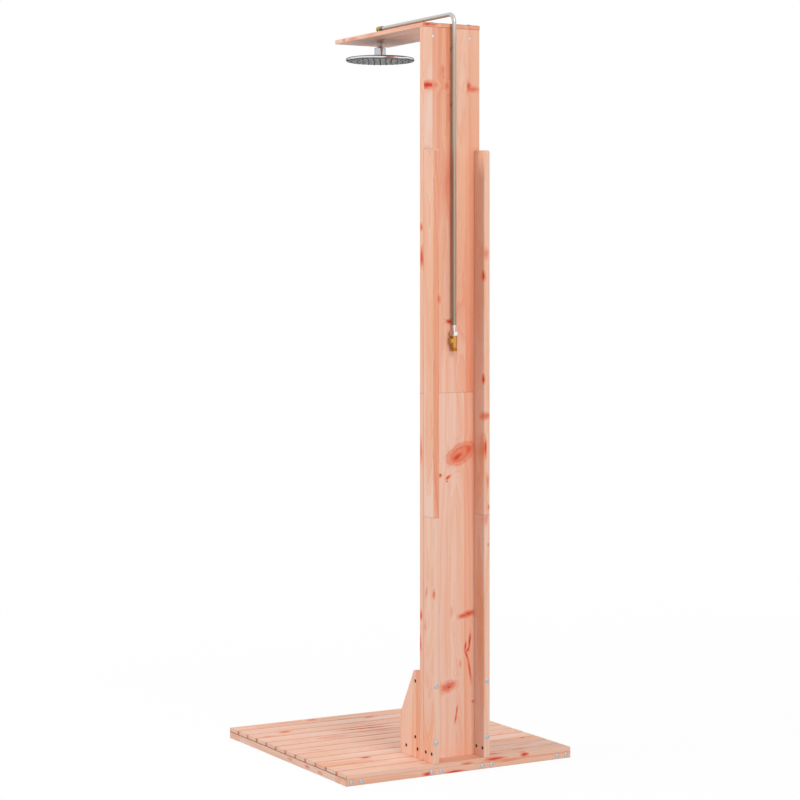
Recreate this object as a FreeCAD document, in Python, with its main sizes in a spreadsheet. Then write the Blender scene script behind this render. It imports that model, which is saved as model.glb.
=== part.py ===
import FreeCAD, Part
import Sketcher
import math
import os
import re

from FreeCAD import Rotation, Vector

# Outdoor shower post: a slatted timber deck, a back board stiffened by two rails and two
# gussets, a short canopy board, and a bent stainless riser that feeds an overhead rose.
# Millimetres. +Z is up, -Y is the side where the bather stands, and the origin is the
# centre of the deck's underside.

doc = FreeCAD.newDocument("outdoor_shower_post")
sheet = doc.addObject("Spreadsheet::Sheet", "Sizes")

SIZES = (
    # deck
    ("slat_count", 12),
    ("slat_length", 714),
    ("slat_width", 54),
    ("slat_gap", 6),
    ("slat_thick", 12),
    ("frame_thick", 18),
    ("batten_width", 60),
    ("beam_width", 60),
    ("edge_ease", 1),
    # post
    ("board_width", 180),
    ("board_thick", 20),
    ("lower_board_length", 1000),
    ("upper_board_length", 1000),
    ("rail_thick", 18),
    ("rail_depth", 53),
    ("lower_rail_length", 665),
    ("upper_rail_length", 1000),
    ("rail_corner", 8),
    ("gusset_thick", 18),
    ("gusset_height", 240),
    ("gusset_foot", 106),
    ("gusset_head", 32),
    ("gusset_heel", 110),
    ("gusset_corner", 12),
    ("canopy_length", 508),
    ("canopy_thick", 12),
    # bolts, screws and barrel nuts
    ("bolt_size", 5),
    ("dome_size", 9.6),
    ("dome_height", 2.6),
    ("bolt_hole_play", 0.5),
    ("thread_play", 0.1),
    ("nut_size", 9.6),
    ("nut_hole_play", 0.3),
    ("nut_inset", 0.5),
    ("nut_height", 25.5),
    ("bolt_tail", 1.5),
    ("recess_depth", 4),
    ("recess_play", 1.4),
    ("gusset_bolt_front", 94),
    ("gusset_bolt_back", 32),
    ("rail_bolt_front", 12),
    ("rail_bolt_back", 43),
    ("cross_bolt_low", 57),
    ("cross_bolt_high", 210),
    ("cross_nut_setback", 44.6),
    ("canopy_bolt_spread", 60),
    ("canopy_nut_drop", 24),
    ("batten_screw_spread", 15),
    ("batten_screw_bite", 30),
    ("wood_screw_size", 4),
    ("wood_screw_head", 8),
    ("rail_screw_bite", 30),
    ("rail_screw_margin", 55),
    ("low_screw_rise", 150),
    # riser tube and its stand-offs
    ("tube_size", 12),
    ("tube_wall", 1),
    ("tube_offset", 12.5),
    ("tube_foot", 1216),
    ("tube_rise", 27),
    ("tube_bend", 25),
    ("tube_play", 0.12),
    ("tube_insert", 4),
    ("boss_size", 11.5),
    ("boss_drop_upper", 57),
    ("boss_drop_lower", 209.5),
    ("boss_screw_bite", 5),
    # elbow over the canopy
    ("head_reach", 400),
    ("barrel_size", 16),
    ("barrel_back", 7),
    ("barrel_length", 23),
    ("leg_size", 13),
    ("elbow_base_size", 22),
    ("elbow_base_height", 12),
    ("waterway", 7),
    ("sleeve_nut_size", 14.4),
    ("sleeve_nut_length", 14),
    ("washer_thick", 1),
    # stem, ball joint and shower head
    ("stem_size", 18),
    ("stem_drop", 29),
    ("spigot_size", 15),
    ("spigot_rise", 10),
    ("collar_size", 22),
    ("collar_thick", 2),
    ("ball_size", 22),
    ("neck_size", 12),
    ("neck_length", 16),
    ("ball_play", 0.3),
    ("seat_wall", 1.7),
    ("ball_nut_size", 33),
    ("ball_nut_rise", 13),
    ("flare_size", 24),
    ("lip_height", 7),
    ("socket_size", 27),
    ("socket_play", 0.3),
    ("head_size", 200),
    ("head_thick", 10),
    ("head_below_ball", 17),
    ("head_lip", 5),
    ("head_skin", 1.5),
    ("face_thick", 1.5),
    ("mat_thick", 2),
    ("face_play", 0.3),
    ("nozzle_rings", 5),
    ("nozzle_pitch", 17),
    ("nozzle_root", 4.4),
    ("nozzle_tip", 2.8),
    ("nozzle_length", 3),
    ("nozzle_play", 0.3),
    # tail fitting under the riser
    ("adapter_length", 17),
    ("adapter_neck", 8.6),
    ("adapter_spigot", 12),
    ("adapter_flange", 13.6),
    ("union_size", 24),
    ("union_length", 13),
    ("union_shoulder", 3),
    ("seal_thick", 1.5),
    ("valve_size", 15),
    ("valve_length", 31),
    ("valve_drop", 44),
    ("valve_bore", 6),
    ("valve_ball_size", 11.8),
    ("valve_ball_flat", 4.5),
    ("valve_boss_size", 17),
    ("valve_boss_reach", 13),
    ("spindle_size", 8),
    ("spindle_head_size", 12),
    ("spindle_head_thick", 2.4),
    ("slot_width", 1.4),
    ("slot_depth", 1.4),
    ("running_play", 0.1),
    ("nipple_size", 16.6),
    ("nipple_length", 11),
)

for row, (alias, value) in enumerate(SIZES, start=1):
    sheet.set("A%d" % row, alias)
    sheet.set("B%d" % row, str(value))
    sheet.setAlias("B%d" % row, alias)
doc.recompute()

ALIASES = {alias for alias, value in SIZES}
OVERRUN = 1.0       # how far a drill or cutter starts outside the face that it enters


def cell(alias):
    """The number in one cell of the sheet."""
    return float(sheet.get(alias))


def bound(formula):
    """A formula in plain size names, written for the expression engine."""
    return re.sub(r"[A-Za-z_]\w*",
                  lambda word: "Sizes." + word.group() if word.group() in ALIASES else word.group(),
                  str(formula))


def bind(item, **formulas):
    """Tie properties of a document object to formulas in the sheet's names."""
    for prop, formula in formulas.items():
        item.setExpression(prop, bound(formula))


def put(item, at, turn=None):
    """Place an object: a fixed turn, and an origin that follows the sheet."""
    if turn is not None:
        item.Placement = FreeCAD.Placement(Vector(), turn)
    for letter, formula in zip("xyz", at):
        item.setExpression("Placement.Base." + letter, bound(formula))
    return item


# Where the main lines of the post lie, as formulas in the sheet's names.
HALF_DEPTH = "(slat_count * slat_width + (slat_count - 1) * slat_gap) / 2"
DECK_TOP = "(frame_thick + slat_thick)"
POST_BACK = "(%s - rail_depth)" % HALF_DEPTH
POST_FRONT = "(%s - board_thick)" % POST_BACK
BOARD_JOINT = "(%s + lower_board_length)" % DECK_TOP
POST_TOP = "(%s + upper_board_length)" % BOARD_JOINT
RAIL_JOINT = "(%s + lower_rail_length)" % DECK_TOP
RAIL_TOP = "(%s + upper_rail_length)" % RAIL_JOINT
RAIL_X = "(board_width / 2 - rail_thick / 2)"
OUTER_BEAM_X = "(slat_length / 2 - beam_width / 2)"
CANOPY_TOP = "(%s + canopy_thick)" % POST_TOP
TUBE_Y = "(%s + tube_offset)" % POST_BACK
TUBE_TOP = "(%s + tube_rise)" % CANOPY_TOP
HEAD_Y = "(%s - head_reach)" % POST_BACK
BALL_Z = "(%s - stem_drop)" % POST_TOP

# Turns that carry a local +Z to the named direction.
TURNS = {
    "+Z": Rotation(),
    "-Z": Rotation(Vector(1, 0, 0), 180),
    "+Y": Rotation(Vector(1, 0, 0), -90),
    "-Y": Rotation(Vector(1, 0, 0), 90),
    "+X": Rotation(Vector(0, 1, 0), 90),
    "-X": Rotation(Vector(0, 1, 0), -90),
}
SIGNS = (("left", "-"), ("right", ""))

nodes = []


def keep(item, label):
    """Register an object as one sub-part of the assembly."""
    item.Label = label
    nodes.append(item)
    return item


# ---------------------------------------------------------------- shared operations

def origin_plane(body, role):
    for feature in body.Origin.OriginFeatures:
        if feature.Role == role:
            return feature
    raise ValueError(role)


def polygon(body, role, name, corners):
    """A closed outline whose corners are each pinned by two formulas."""
    sketch = body.newObject("Sketcher::SketchObject", name)
    sketch.AttachmentSupport = [(origin_plane(body, role), "")]
    sketch.MapMode = "FlatFace"
    count = len(corners)
    spots = [Vector(10 + 5 * math.cos(math.tau * i / count),
                    10 + 5 * math.sin(math.tau * i / count), 0) for i in range(count)]
    for i in range(count):
        sketch.addGeometry(Part.LineSegment(spots[i], spots[(i + 1) % count]))
    for i in range(count):
        sketch.addConstraint(Sketcher.Constraint("Coincident", i, 2, (i + 1) % count, 1))
    for i, (across, up) in enumerate(corners):
        for kind, start, formula in (("DistanceX", spots[i].x, across), ("DistanceY", spots[i].y, up)):
            pin = sketch.addConstraint(Sketcher.Constraint(kind, -1, 1, i, 1, start))
            sketch.setExpression("Constraints[%d]" % pin, bound(formula))
    return sketch


def turned(name, corners):
    """A lathe part: an outline of (radius, height) corners turned about its own +Z."""
    body = doc.addObject("PartDesign::Body", name)
    sketch = polygon(body, "XZ_Plane", name + "_outline", corners)
    turn = body.newObject("PartDesign::Revolution", name + "_turn")
    turn.Profile = sketch
    turn.ReferenceAxis = (sketch, ["V_Axis"])
    turn.Angle = 360
    sketch.Visibility = False
    return body


def rod(name, size, length, at, direction="+Z"):
    """A plain cylinder from a point, along a direction."""
    item = doc.addObject("Part::Cylinder", name)
    bind(item, Radius="(%s) / 2" % size, Height=length)
    return put(item, at, TURNS[direction])


def cone(name, root, tip, length, at, direction="+Z"):
    item = doc.addObject("Part::Cone", name)
    bind(item, Radius1="(%s) / 2" % root, Radius2="(%s) / 2" % tip, Height=length)
    return put(item, at, TURNS[direction])


def ball(name, size, at):
    item = doc.addObject("Part::Sphere", name)
    bind(item, Radius="(%s) / 2" % size)
    return put(item, at)


def block(name, size, at):
    item = doc.addObject("Part::Box", name)
    bind(item, Length=size[0], Width=size[1], Height=size[2])
    return put(item, at)


def joined(name, pieces):
    if len(pieces) == 1:
        return pieces[0]
    item = doc.addObject("Part::MultiFuse", name)
    item.Shapes = pieces
    return item


def cut(name, base, cutters):
    item = doc.addObject("Part::Cut", name)
    item.Base = base
    item.Tool = joined(name + "_cutters", cutters)
    return item


def group(name, pieces):
    """Like pieces that stay separate solids in one node."""
    item = doc.addObject("Part::Compound", name)
    item.Links = pieces
    return item


def away(point, direction, distance):
    """A point moved along a signed direction."""
    moved = list(point)
    axis = "XYZ".index(direction[1])
    moved[axis] = "(%s) %s (%s)" % (point[axis], direction[0], distance)
    return tuple(moved)


def opposite(direction):
    return {"+": "-", "-": "+"}[direction[0]] + direction[1]


def drill(name, size, depth, mouth, direction, through=False):
    """A drilled hole that starts at its mouth and runs along a direction."""
    length = "(%s) + %s" % (depth, OVERRUN * (2 if through else 1))
    return rod(name, size, length, away(mouth, opposite(direction), OVERRUN), direction)


def plank(name, size, at, along, holes=(), rounded=()):
    """A sawn board with its long edges eased and its holes drilled."""
    blank = block(name + "_blank", size, at)
    doc.recompute()
    axis = {"X": Vector(1, 0, 0), "Y": Vector(0, 1, 0), "Z": Vector(0, 0, 1)}[along]
    eased = doc.addObject("Part::Chamfer", name + "_eased")
    eased.Base = blank
    edges = []
    for number, edge in enumerate(blank.Shape.Edges, start=1):
        span = edge.Vertexes[-1].Point - edge.Vertexes[0].Point
        if abs(span.normalize().dot(axis)) > 0.99:
            edges.append((number, cell("edge_ease"), cell("edge_ease")))
    eased.Edges = edges
    board = eased
    if rounded:
        board = cut(name + "_shaped", board, list(rounded))
    if holes:
        board = cut(name + "_drilled", board, list(holes))
    return keep(board, name)


# ---------------------------------------------------------------- bolts, screws and nuts

BOLT_HOLE = "bolt_size + bolt_hole_play"
NUT_HOLE = "nut_size + nut_hole_play"
TAPPED = "bolt_size + thread_play"
SCREW_HOLE = "wood_screw_size + thread_play"
RECESS = "dome_size + recess_play"


def dome_bolt(name, length, seat, outward):
    """A bolt with a low dome head; its seat is the face that the head bears on."""
    bolt = turned(name, (
        (0, "-(%s)" % length),
        ("bolt_size / 2 - 0.5", "-(%s)" % length),
        ("bolt_size / 2", "0.8 - (%s)" % length),
        ("bolt_size / 2", 0),
        ("dome_size / 2", 0),
        ("dome_size / 2", "dome_height * 0.3"),
        ("dome_size * 0.38", "dome_height * 0.8"),
        ("dome_size * 0.2", "dome_height"),
        (0, "dome_height"),
    ))
    return put(bolt, seat, TURNS[outward])


def flush_screw(name, length, face, outward):
    """A countersunk screw whose head ends level with the face."""
    screw = turned(name, (
        (0, "-(%s)" % length),
        ("wood_screw_size / 2", "wood_screw_size - (%s)" % length),
        ("wood_screw_size / 2", "-(wood_screw_head - wood_screw_size) / 2"),
        ("wood_screw_head / 2", 0),
        (0, 0),
    ))
    return put(screw, face, TURNS[outward])


def countersink(name, face, inward):
    """The seat of a countersunk head, wider than it by the thread play."""
    return cone(name, "wood_screw_head + thread_play + %s" % (2 * OVERRUN),
                "wood_screw_size + thread_play",
                "(wood_screw_head - wood_screw_size) / 2 + %s" % OVERRUN,
                away(face, opposite(inward), OVERRUN), inward)


def barrel_nut(name, length, centre, along, bolt_along):
    """A cross dowel: a short round bar with a tapped hole through its middle."""
    bar = rod(name + "_bar", "nut_size", length,
              away(centre, "-" + along, "(%s) / 2" % length), "+" + along)
    tapped = rod(name + "_tap", TAPPED, "nut_size + %s" % (2 * OVERRUN),
                 away(centre, "-" + bolt_along, "nut_size / 2 + %s" % OVERRUN), "+" + bolt_along)
    return cut(name, bar, [tapped])


# ---------------------------------------------------------------- where the fasteners go

# Under each rail, four bolts rise through the deck: two into the gusset, two into the rail.
GUSSET_BOLTS = (("front", "%s - gusset_bolt_front" % POST_BACK),
                ("back", "%s - gusset_bolt_back" % POST_BACK))
RAIL_BOLTS = (("front", "%s + rail_bolt_front" % POST_BACK),
              ("back", "%s + rail_bolt_back" % POST_BACK))
NUT_Z = "%s + nut_height" % DECK_TOP
DECK_BOLT_LENGTH = "%s + nut_height + nut_size / 2 + bolt_tail - recess_depth" % DECK_TOP

# Two bolts run from the back of each rail, through rail and board, into the gusset.
CROSS_Z = (("low", "%s + cross_bolt_low" % DECK_TOP), ("high", "%s + cross_bolt_high" % DECK_TOP))
CROSS_NUT_Y = "%s - cross_nut_setback" % POST_BACK
CROSS_LENGTH = "rail_depth + cross_nut_setback + nut_size / 2 + bolt_tail"

# Screws from the front hold the rails to the board, on both sides of each joint.
LOWER_SCREWS = ("%s + gusset_height + low_screw_rise" % DECK_TOP, "%s - rail_screw_margin" % RAIL_JOINT)
MIDDLE_SCREWS = ("%s + rail_screw_margin" % RAIL_JOINT, "%s - rail_screw_margin" % BOARD_JOINT)
TOP_SCREW = "%s - rail_screw_margin" % RAIL_TOP
UPPER_SCREWS = ("%s + rail_screw_margin" % BOARD_JOINT, "(%s + %s) / 2" % (BOARD_JOINT, RAIL_TOP), TOP_SCREW)

# The end screws of the beams pass through the battens, two to a beam.
BEAMS = (("beam_1", "-" + OUTER_BEAM_X), ("beam_2", "-" + RAIL_X),
         ("beam_3", RAIL_X), ("beam_4", OUTER_BEAM_X))
BATTEN_SCREWS = [(name + side, "(%s) %s batten_screw_spread" % (centre, sign))
                 for name, centre in BEAMS for side, sign in (("_a", "-"), ("_b", "+"))]
FRAME_MID = "frame_thick / 2"


def deck_bolt_holes(name, spots, depth, bottom=0, size=BOLT_HOLE, through=True):
    """The upright bolt holes of both sides through one piece of the deck."""
    return [drill("%s_%s_%s" % (name, side, spot), size, depth,
                  (sign + RAIL_X, place, bottom), "+Z", through)
            for side, sign in SIGNS for spot, place in spots]


# ---------------------------------------------------------------- deck

front_holes = []
rear_holes = []
for tag, place in BATTEN_SCREWS:
    front_holes.append(drill("front_batten_hole_" + tag, BOLT_HOLE, "batten_width",
                             (place, "-(%s)" % HALF_DEPTH, FRAME_MID), "+Y", True))
    rear_holes.append(drill("rear_batten_hole_" + tag, BOLT_HOLE, "batten_width",
                            (place, HALF_DEPTH, FRAME_MID), "-Y", True))
rear_holes += deck_bolt_holes("rear_batten_bolt", RAIL_BOLTS, "frame_thick")
rear_holes += deck_bolt_holes("rear_batten_recess", RAIL_BOLTS, "recess_depth", 0, RECESS, False)

BATTEN = ("slat_length", "batten_width", "frame_thick")
plank("front_batten", BATTEN, ("-slat_length / 2", "-(%s)" % HALF_DEPTH, 0), "X", front_holes)
plank("rear_batten", BATTEN, ("-slat_length / 2", "%s - batten_width" % HALF_DEPTH, 0), "X", rear_holes)

BEAM_END = "(%s - batten_width)" % HALF_DEPTH
for name, centre in BEAMS:
    holes = []
    for tag, place in BATTEN_SCREWS:
        if tag.startswith(name):
            holes.append(drill(tag + "_front_hole", TAPPED, "batten_screw_bite",
                               (place, "-" + BEAM_END, FRAME_MID), "+Y"))
            holes.append(drill(tag + "_rear_hole", TAPPED, "batten_screw_bite",
                               (place, BEAM_END, FRAME_MID), "-Y"))
    if RAIL_X in centre:
        for spot, place in GUSSET_BOLTS:
            holes.append(drill("%s_bolt_%s" % (name, spot), BOLT_HOLE, "frame_thick",
                               (centre, place, 0), "+Z", True))
            holes.append(drill("%s_recess_%s" % (name, spot), RECESS, "recess_depth",
                               (centre, place, 0), "+Z"))
    plank(name, ("beam_width", "2 * " + BEAM_END, "frame_thick"),
          ("(%s) - beam_width / 2" % centre, "-" + BEAM_END, 0), "Y", holes)

half_depth = (cell("slat_count") * cell("slat_width") + (cell("slat_count") - 1) * cell("slat_gap")) / 2
post_back = half_depth - cell("rail_depth")
bolt_lines = {
    "gusset_front": post_back - cell("gusset_bolt_front"),
    "gusset_back": post_back - cell("gusset_bolt_back"),
    "rail_front": post_back + cell("rail_bolt_front"),
    "rail_back": post_back + cell("rail_bolt_back"),
}
BOLT_PLACES = dict([("gusset_" + spot, place) for spot, place in GUSSET_BOLTS]
                   + [("rail_" + spot, place) for spot, place in RAIL_BOLTS])

for number in range(int(cell("slat_count"))):
    name = "slat_%02d" % (number + 1)
    near = "-(%s) + %d * (slat_width + slat_gap)" % (HALF_DEPTH, number)
    low = -half_depth + number * (cell("slat_width") + cell("slat_gap"))
    reach = cell("bolt_size") / 2
    spots = [(spot, BOLT_PLACES[spot]) for spot, line in bolt_lines.items()
             if low - reach < line < low + cell("slat_width") + reach]
    plank(name, ("slat_length", "slat_width", "slat_thick"), ("-slat_length / 2", near, "frame_thick"), "X",
          deck_bolt_holes(name, spots, "slat_thick", "frame_thick"))

# ---------------------------------------------------------------- post

def side_screw_holes(name, heights):
    """Countersunk screw holes through the board, one over each rail."""
    holes = []
    for side, sign in SIGNS:
        for number, height in enumerate(heights):
            tag = "%s_%s_%d" % (name, side, number)
            face = (sign + RAIL_X, POST_FRONT, height)
            holes.append(drill(tag + "_hole", SCREW_HOLE, "board_thick", face, "+Y", True))
            holes.append(countersink(tag + "_sink", face, "+Y"))
    return holes


lower_holes = side_screw_holes("lower_board", LOWER_SCREWS + MIDDLE_SCREWS)
for side, sign in SIGNS:
    for spot, height in CROSS_Z:
        lower_holes.append(drill("lower_board_cross_%s_%s" % (side, spot), BOLT_HOLE, "board_thick",
                                 (sign + RAIL_X, POST_FRONT, height), "+Y", True))
plank("main_board_lower", ("board_width", "board_thick", "lower_board_length"),
      ("-board_width / 2", POST_FRONT, DECK_TOP), "Z", lower_holes)

BOSS_Z = (("upper", "%s - boss_drop_upper" % POST_TOP), ("lower", "%s - boss_drop_lower" % POST_TOP))
BOARD_MID = "%s + board_thick / 2" % POST_FRONT
CANOPY_NUT_Z = "%s - canopy_nut_drop" % POST_TOP
CANOPY_BOLT_BITE = "canopy_nut_drop + nut_size / 2 + bolt_tail"

upper_holes = side_screw_holes("upper_board", UPPER_SCREWS)
for spot, height in BOSS_Z:
    face = (0, POST_FRONT, height)
    upper_holes.append(drill("boss_hole_" + spot, SCREW_HOLE, "board_thick", face, "+Y", True))
    upper_holes.append(countersink("boss_sink_" + spot, face, "+Y"))
for side, sign in SIGNS:
    place = sign + "canopy_bolt_spread"
    upper_holes.append(drill("canopy_bolt_way_" + side, BOLT_HOLE, CANOPY_BOLT_BITE,
                             (place, BOARD_MID, POST_TOP), "-Z"))
    upper_holes.append(drill("canopy_nut_way_" + side, NUT_HOLE, "board_thick",
                             (place, POST_FRONT, CANOPY_NUT_Z), "+Y", True))
plank("main_board_upper", ("board_width", "board_thick", "upper_board_length"),
      ("-board_width / 2", POST_FRONT, BOARD_JOINT), "Z", upper_holes)

for side, sign in SIGNS:
    centre = sign + RAIL_X
    inner = "%s - rail_thick / 2" % centre
    rail_back = "%s + rail_depth" % POST_BACK
    holes = []
    for spot, place in RAIL_BOLTS:
        holes.append(drill("%s_rail_bolt_%s" % (side, spot), BOLT_HOLE,
                           "nut_height + nut_size / 2 + bolt_tail", (centre, place, DECK_TOP), "+Z"))
        holes.append(drill("%s_rail_nut_%s" % (side, spot), NUT_HOLE, "rail_thick",
                           (inner, place, NUT_Z), "+X", True))
    for spot, height in CROSS_Z:
        holes.append(drill("%s_rail_cross_%s" % (side, spot), BOLT_HOLE, "rail_depth",
                           (centre, rail_back, height), "-Y", True))
    for number, height in enumerate(LOWER_SCREWS):
        holes.append(drill("%s_low_rail_screw_%d" % (side, number), SCREW_HOLE, "rail_screw_bite",
                           (centre, POST_BACK, height), "+Y"))
    plank("%s_rail_lower" % side, ("rail_thick", "rail_depth", "lower_rail_length"),
          (inner, POST_BACK, DECK_TOP), "Z", holes)

    holes = []
    for number, height in enumerate(MIDDLE_SCREWS + UPPER_SCREWS):
        holes.append(drill("%s_high_rail_screw_%d" % (side, number), SCREW_HOLE, "rail_screw_bite",
                           (centre, POST_BACK, height), "+Y"))
    # the free top corner is rounded: a square waste piece less a round bar takes it off
    waste = block("%s_corner_waste" % side,
                  ("rail_thick + %s" % (2 * OVERRUN), "rail_corner + 1", "rail_corner + 1"),
                  ("%s - %s" % (inner, OVERRUN), "%s - rail_corner" % rail_back,
                   "%s - rail_corner" % RAIL_TOP))
    bar = rod("%s_corner_bar" % side, "2 * rail_corner", "rail_thick + %s" % (4 * OVERRUN),
              ("%s - %s" % (inner, 2 * OVERRUN), "%s - rail_corner" % rail_back,
               "%s - rail_corner" % RAIL_TOP), "+X")
    corner = cut("%s_corner" % side, waste, [bar])
    plank("%s_rail_upper" % side, ("rail_thick", "rail_depth", "upper_rail_length"),
          (inner, POST_BACK, RAIL_JOINT), "Z", holes, [corner])


def gusset(side, sign):
    """A braced foot: a slanting front edge over a short upright, with softened corners."""
    body = doc.addObject("PartDesign::Body", side + "_gusset_plate")
    sketch = polygon(body, "YZ_Plane", side + "_gusset_outline", (
        (0, 0),
        ("-gusset_foot", 0),
        ("-gusset_foot", "gusset_heel"),
        ("-gusset_head", "gusset_height"),
        (0, "gusset_height"),
    ))
    pad = body.newObject("PartDesign::Pad", side + "_gusset_pad")
    pad.Profile = sketch
    pad.Midplane = True
    bind(pad, Length="gusset_thick")
    sketch.Visibility = False
    doc.recompute()
    corners = []
    for number, edge in enumerate(pad.Shape.Edges, start=1):
        ends = [vertex.Point for vertex in edge.Vertexes]
        across = abs(ends[0].x - ends[-1].x) > cell("gusset_thick") * 0.9
        front = max(end.y for end in ends) < -cell("gusset_head") * 0.9
        raised = min(end.z for end in ends) > cell("gusset_heel") * 0.9
        if across and front and raised:
            corners.append("Edge%d" % number)
    fillet = body.newObject("PartDesign::Fillet", side + "_gusset_corners")
    fillet.Base = (pad, corners)
    bind(fillet, Radius="gusset_corner")
    outer = "(board_width / 2 - gusset_thick / 2)"
    put(body, (sign + outer, POST_FRONT, DECK_TOP))
    holes = []
    start = "%s%s - gusset_thick / 2" % (sign, outer)
    for spot, place in GUSSET_BOLTS:
        holes.append(drill("%s_gusset_bolt_%s" % (side, spot), BOLT_HOLE,
                           "nut_height + nut_size / 2 + bolt_tail",
                           (sign + RAIL_X, place, DECK_TOP), "+Z"))
        holes.append(drill("%s_gusset_nut_%s" % (side, spot), NUT_HOLE, "gusset_thick",
                           (start, place, NUT_Z), "+X", True))
    for spot, height in CROSS_Z:
        holes.append(drill("%s_gusset_cross_%s" % (side, spot), BOLT_HOLE,
                           "cross_nut_setback - board_thick + nut_size / 2 + bolt_tail",
                           (sign + RAIL_X, POST_FRONT, height), "-Y"))
        holes.append(drill("%s_gusset_cross_nut_%s" % (side, spot), NUT_HOLE, "gusset_thick",
                           (start, CROSS_NUT_Y, height), "+X", True))
    return keep(cut(side + "_gusset_drilled", body, holes), side + "_gusset")


for side, sign in SIGNS:
    gusset(side, sign)

canopy_holes = [drill("canopy_stem_way", "spigot_size + bolt_hole_play", "canopy_thick",
                      (0, HEAD_Y, POST_TOP), "+Z", True)]
for side, sign in SIGNS:
    canopy_holes.append(drill("canopy_bolt_hole_" + side, BOLT_HOLE, "canopy_thick",
                              (sign + "canopy_bolt_spread", BOARD_MID, POST_TOP), "+Z", True))
plank("canopy_board", ("board_width", "canopy_length", "canopy_thick"),
      ("-board_width / 2", "%s - canopy_length" % POST_BACK, POST_TOP), "Y", canopy_holes)

# ---------------------------------------------------------------- fastener groups

deck_bolts = []
deck_nuts = []
cross_bolts = []
cross_nuts = []
canopy_bolts = []
canopy_nuts = []
rail_screws = []
for side, sign in SIGNS:
    centre = sign + RAIL_X
    for kind, thick, spots in (("gusset", "gusset_thick", GUSSET_BOLTS), ("rail", "rail_thick", RAIL_BOLTS)):
        for spot, place in spots:
            tag = "%s_%s_%s" % (side, kind, spot)
            deck_bolts.append(dome_bolt(tag + "_deck_bolt", DECK_BOLT_LENGTH,
                                        (centre, place, "recess_depth"), "-Z"))
            middle = "%s(board_width / 2 - %s / 2)" % (sign, thick)
            deck_nuts.append(barrel_nut(tag + "_nut", "%s - 2 * nut_inset" % thick,
                                        (middle, place, NUT_Z), "X", "Z"))
    for spot, height in CROSS_Z:
        tag = "%s_cross_%s" % (side, spot)
        cross_bolts.append(dome_bolt(tag + "_bolt", CROSS_LENGTH,
                                     (centre, "%s + rail_depth" % POST_BACK, height), "+Y"))
        middle = "%s(board_width / 2 - gusset_thick / 2)" % sign
        cross_nuts.append(barrel_nut(tag + "_nut", "gusset_thick - 2 * nut_inset",
                                     (middle, CROSS_NUT_Y, height), "X", "Y"))
    place = sign + "canopy_bolt_spread"
    canopy_bolts.append(dome_bolt(side + "_canopy_bolt", "canopy_thick + " + CANOPY_BOLT_BITE,
                                  (place, BOARD_MID, CANOPY_TOP), "+Z"))
    canopy_nuts.append(barrel_nut(side + "_canopy_nut", "board_thick - 2 * nut_inset",
                                  (place, BOARD_MID, CANOPY_NUT_Z), "Y", "Z"))
    for number, height in enumerate(LOWER_SCREWS + MIDDLE_SCREWS + UPPER_SCREWS):
        rail_screws.append(flush_screw("%s_rail_screw_%d" % (side, number), "board_thick + rail_screw_bite",
                                       (centre, POST_FRONT, height), "-Y"))

batten_screws = []
for tag, place in BATTEN_SCREWS:
    length = "batten_width + batten_screw_bite"
    batten_screws.append(dome_bolt(tag + "_front_screw", length,
                                   (place, "-(%s)" % HALF_DEPTH, FRAME_MID), "-Y"))
    batten_screws.append(dome_bolt(tag + "_rear_screw", length,
                                   (place, HALF_DEPTH, FRAME_MID), "+Y"))

boss_screws = [flush_screw("boss_screw_" + spot, "board_thick + boss_screw_bite",
                           (0, POST_FRONT, height), "-Y")
               for spot, height in BOSS_Z]

keep(group("deck_bolt_group", deck_bolts), "deck_bolts")
keep(group("deck_nut_group", deck_nuts), "deck_barrel_nuts")
keep(group("cross_bolt_group", cross_bolts), "cross_bolts")
keep(group("cross_nut_group", cross_nuts), "cross_barrel_nuts")
keep(group("canopy_bolt_group", canopy_bolts), "canopy_bolts")
keep(group("canopy_nut_group", canopy_nuts), "canopy_barrel_nuts")
keep(group("rail_screw_group", rail_screws), "rail_screws")
keep(group("batten_screw_group", batten_screws), "batten_screws")
keep(group("boss_screw_group", boss_screws), "boss_screws")

# ---------------------------------------------------------------- riser tube

TUBE_END = "(-(head_reach + tube_offset) + barrel_back - tube_insert)"


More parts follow.
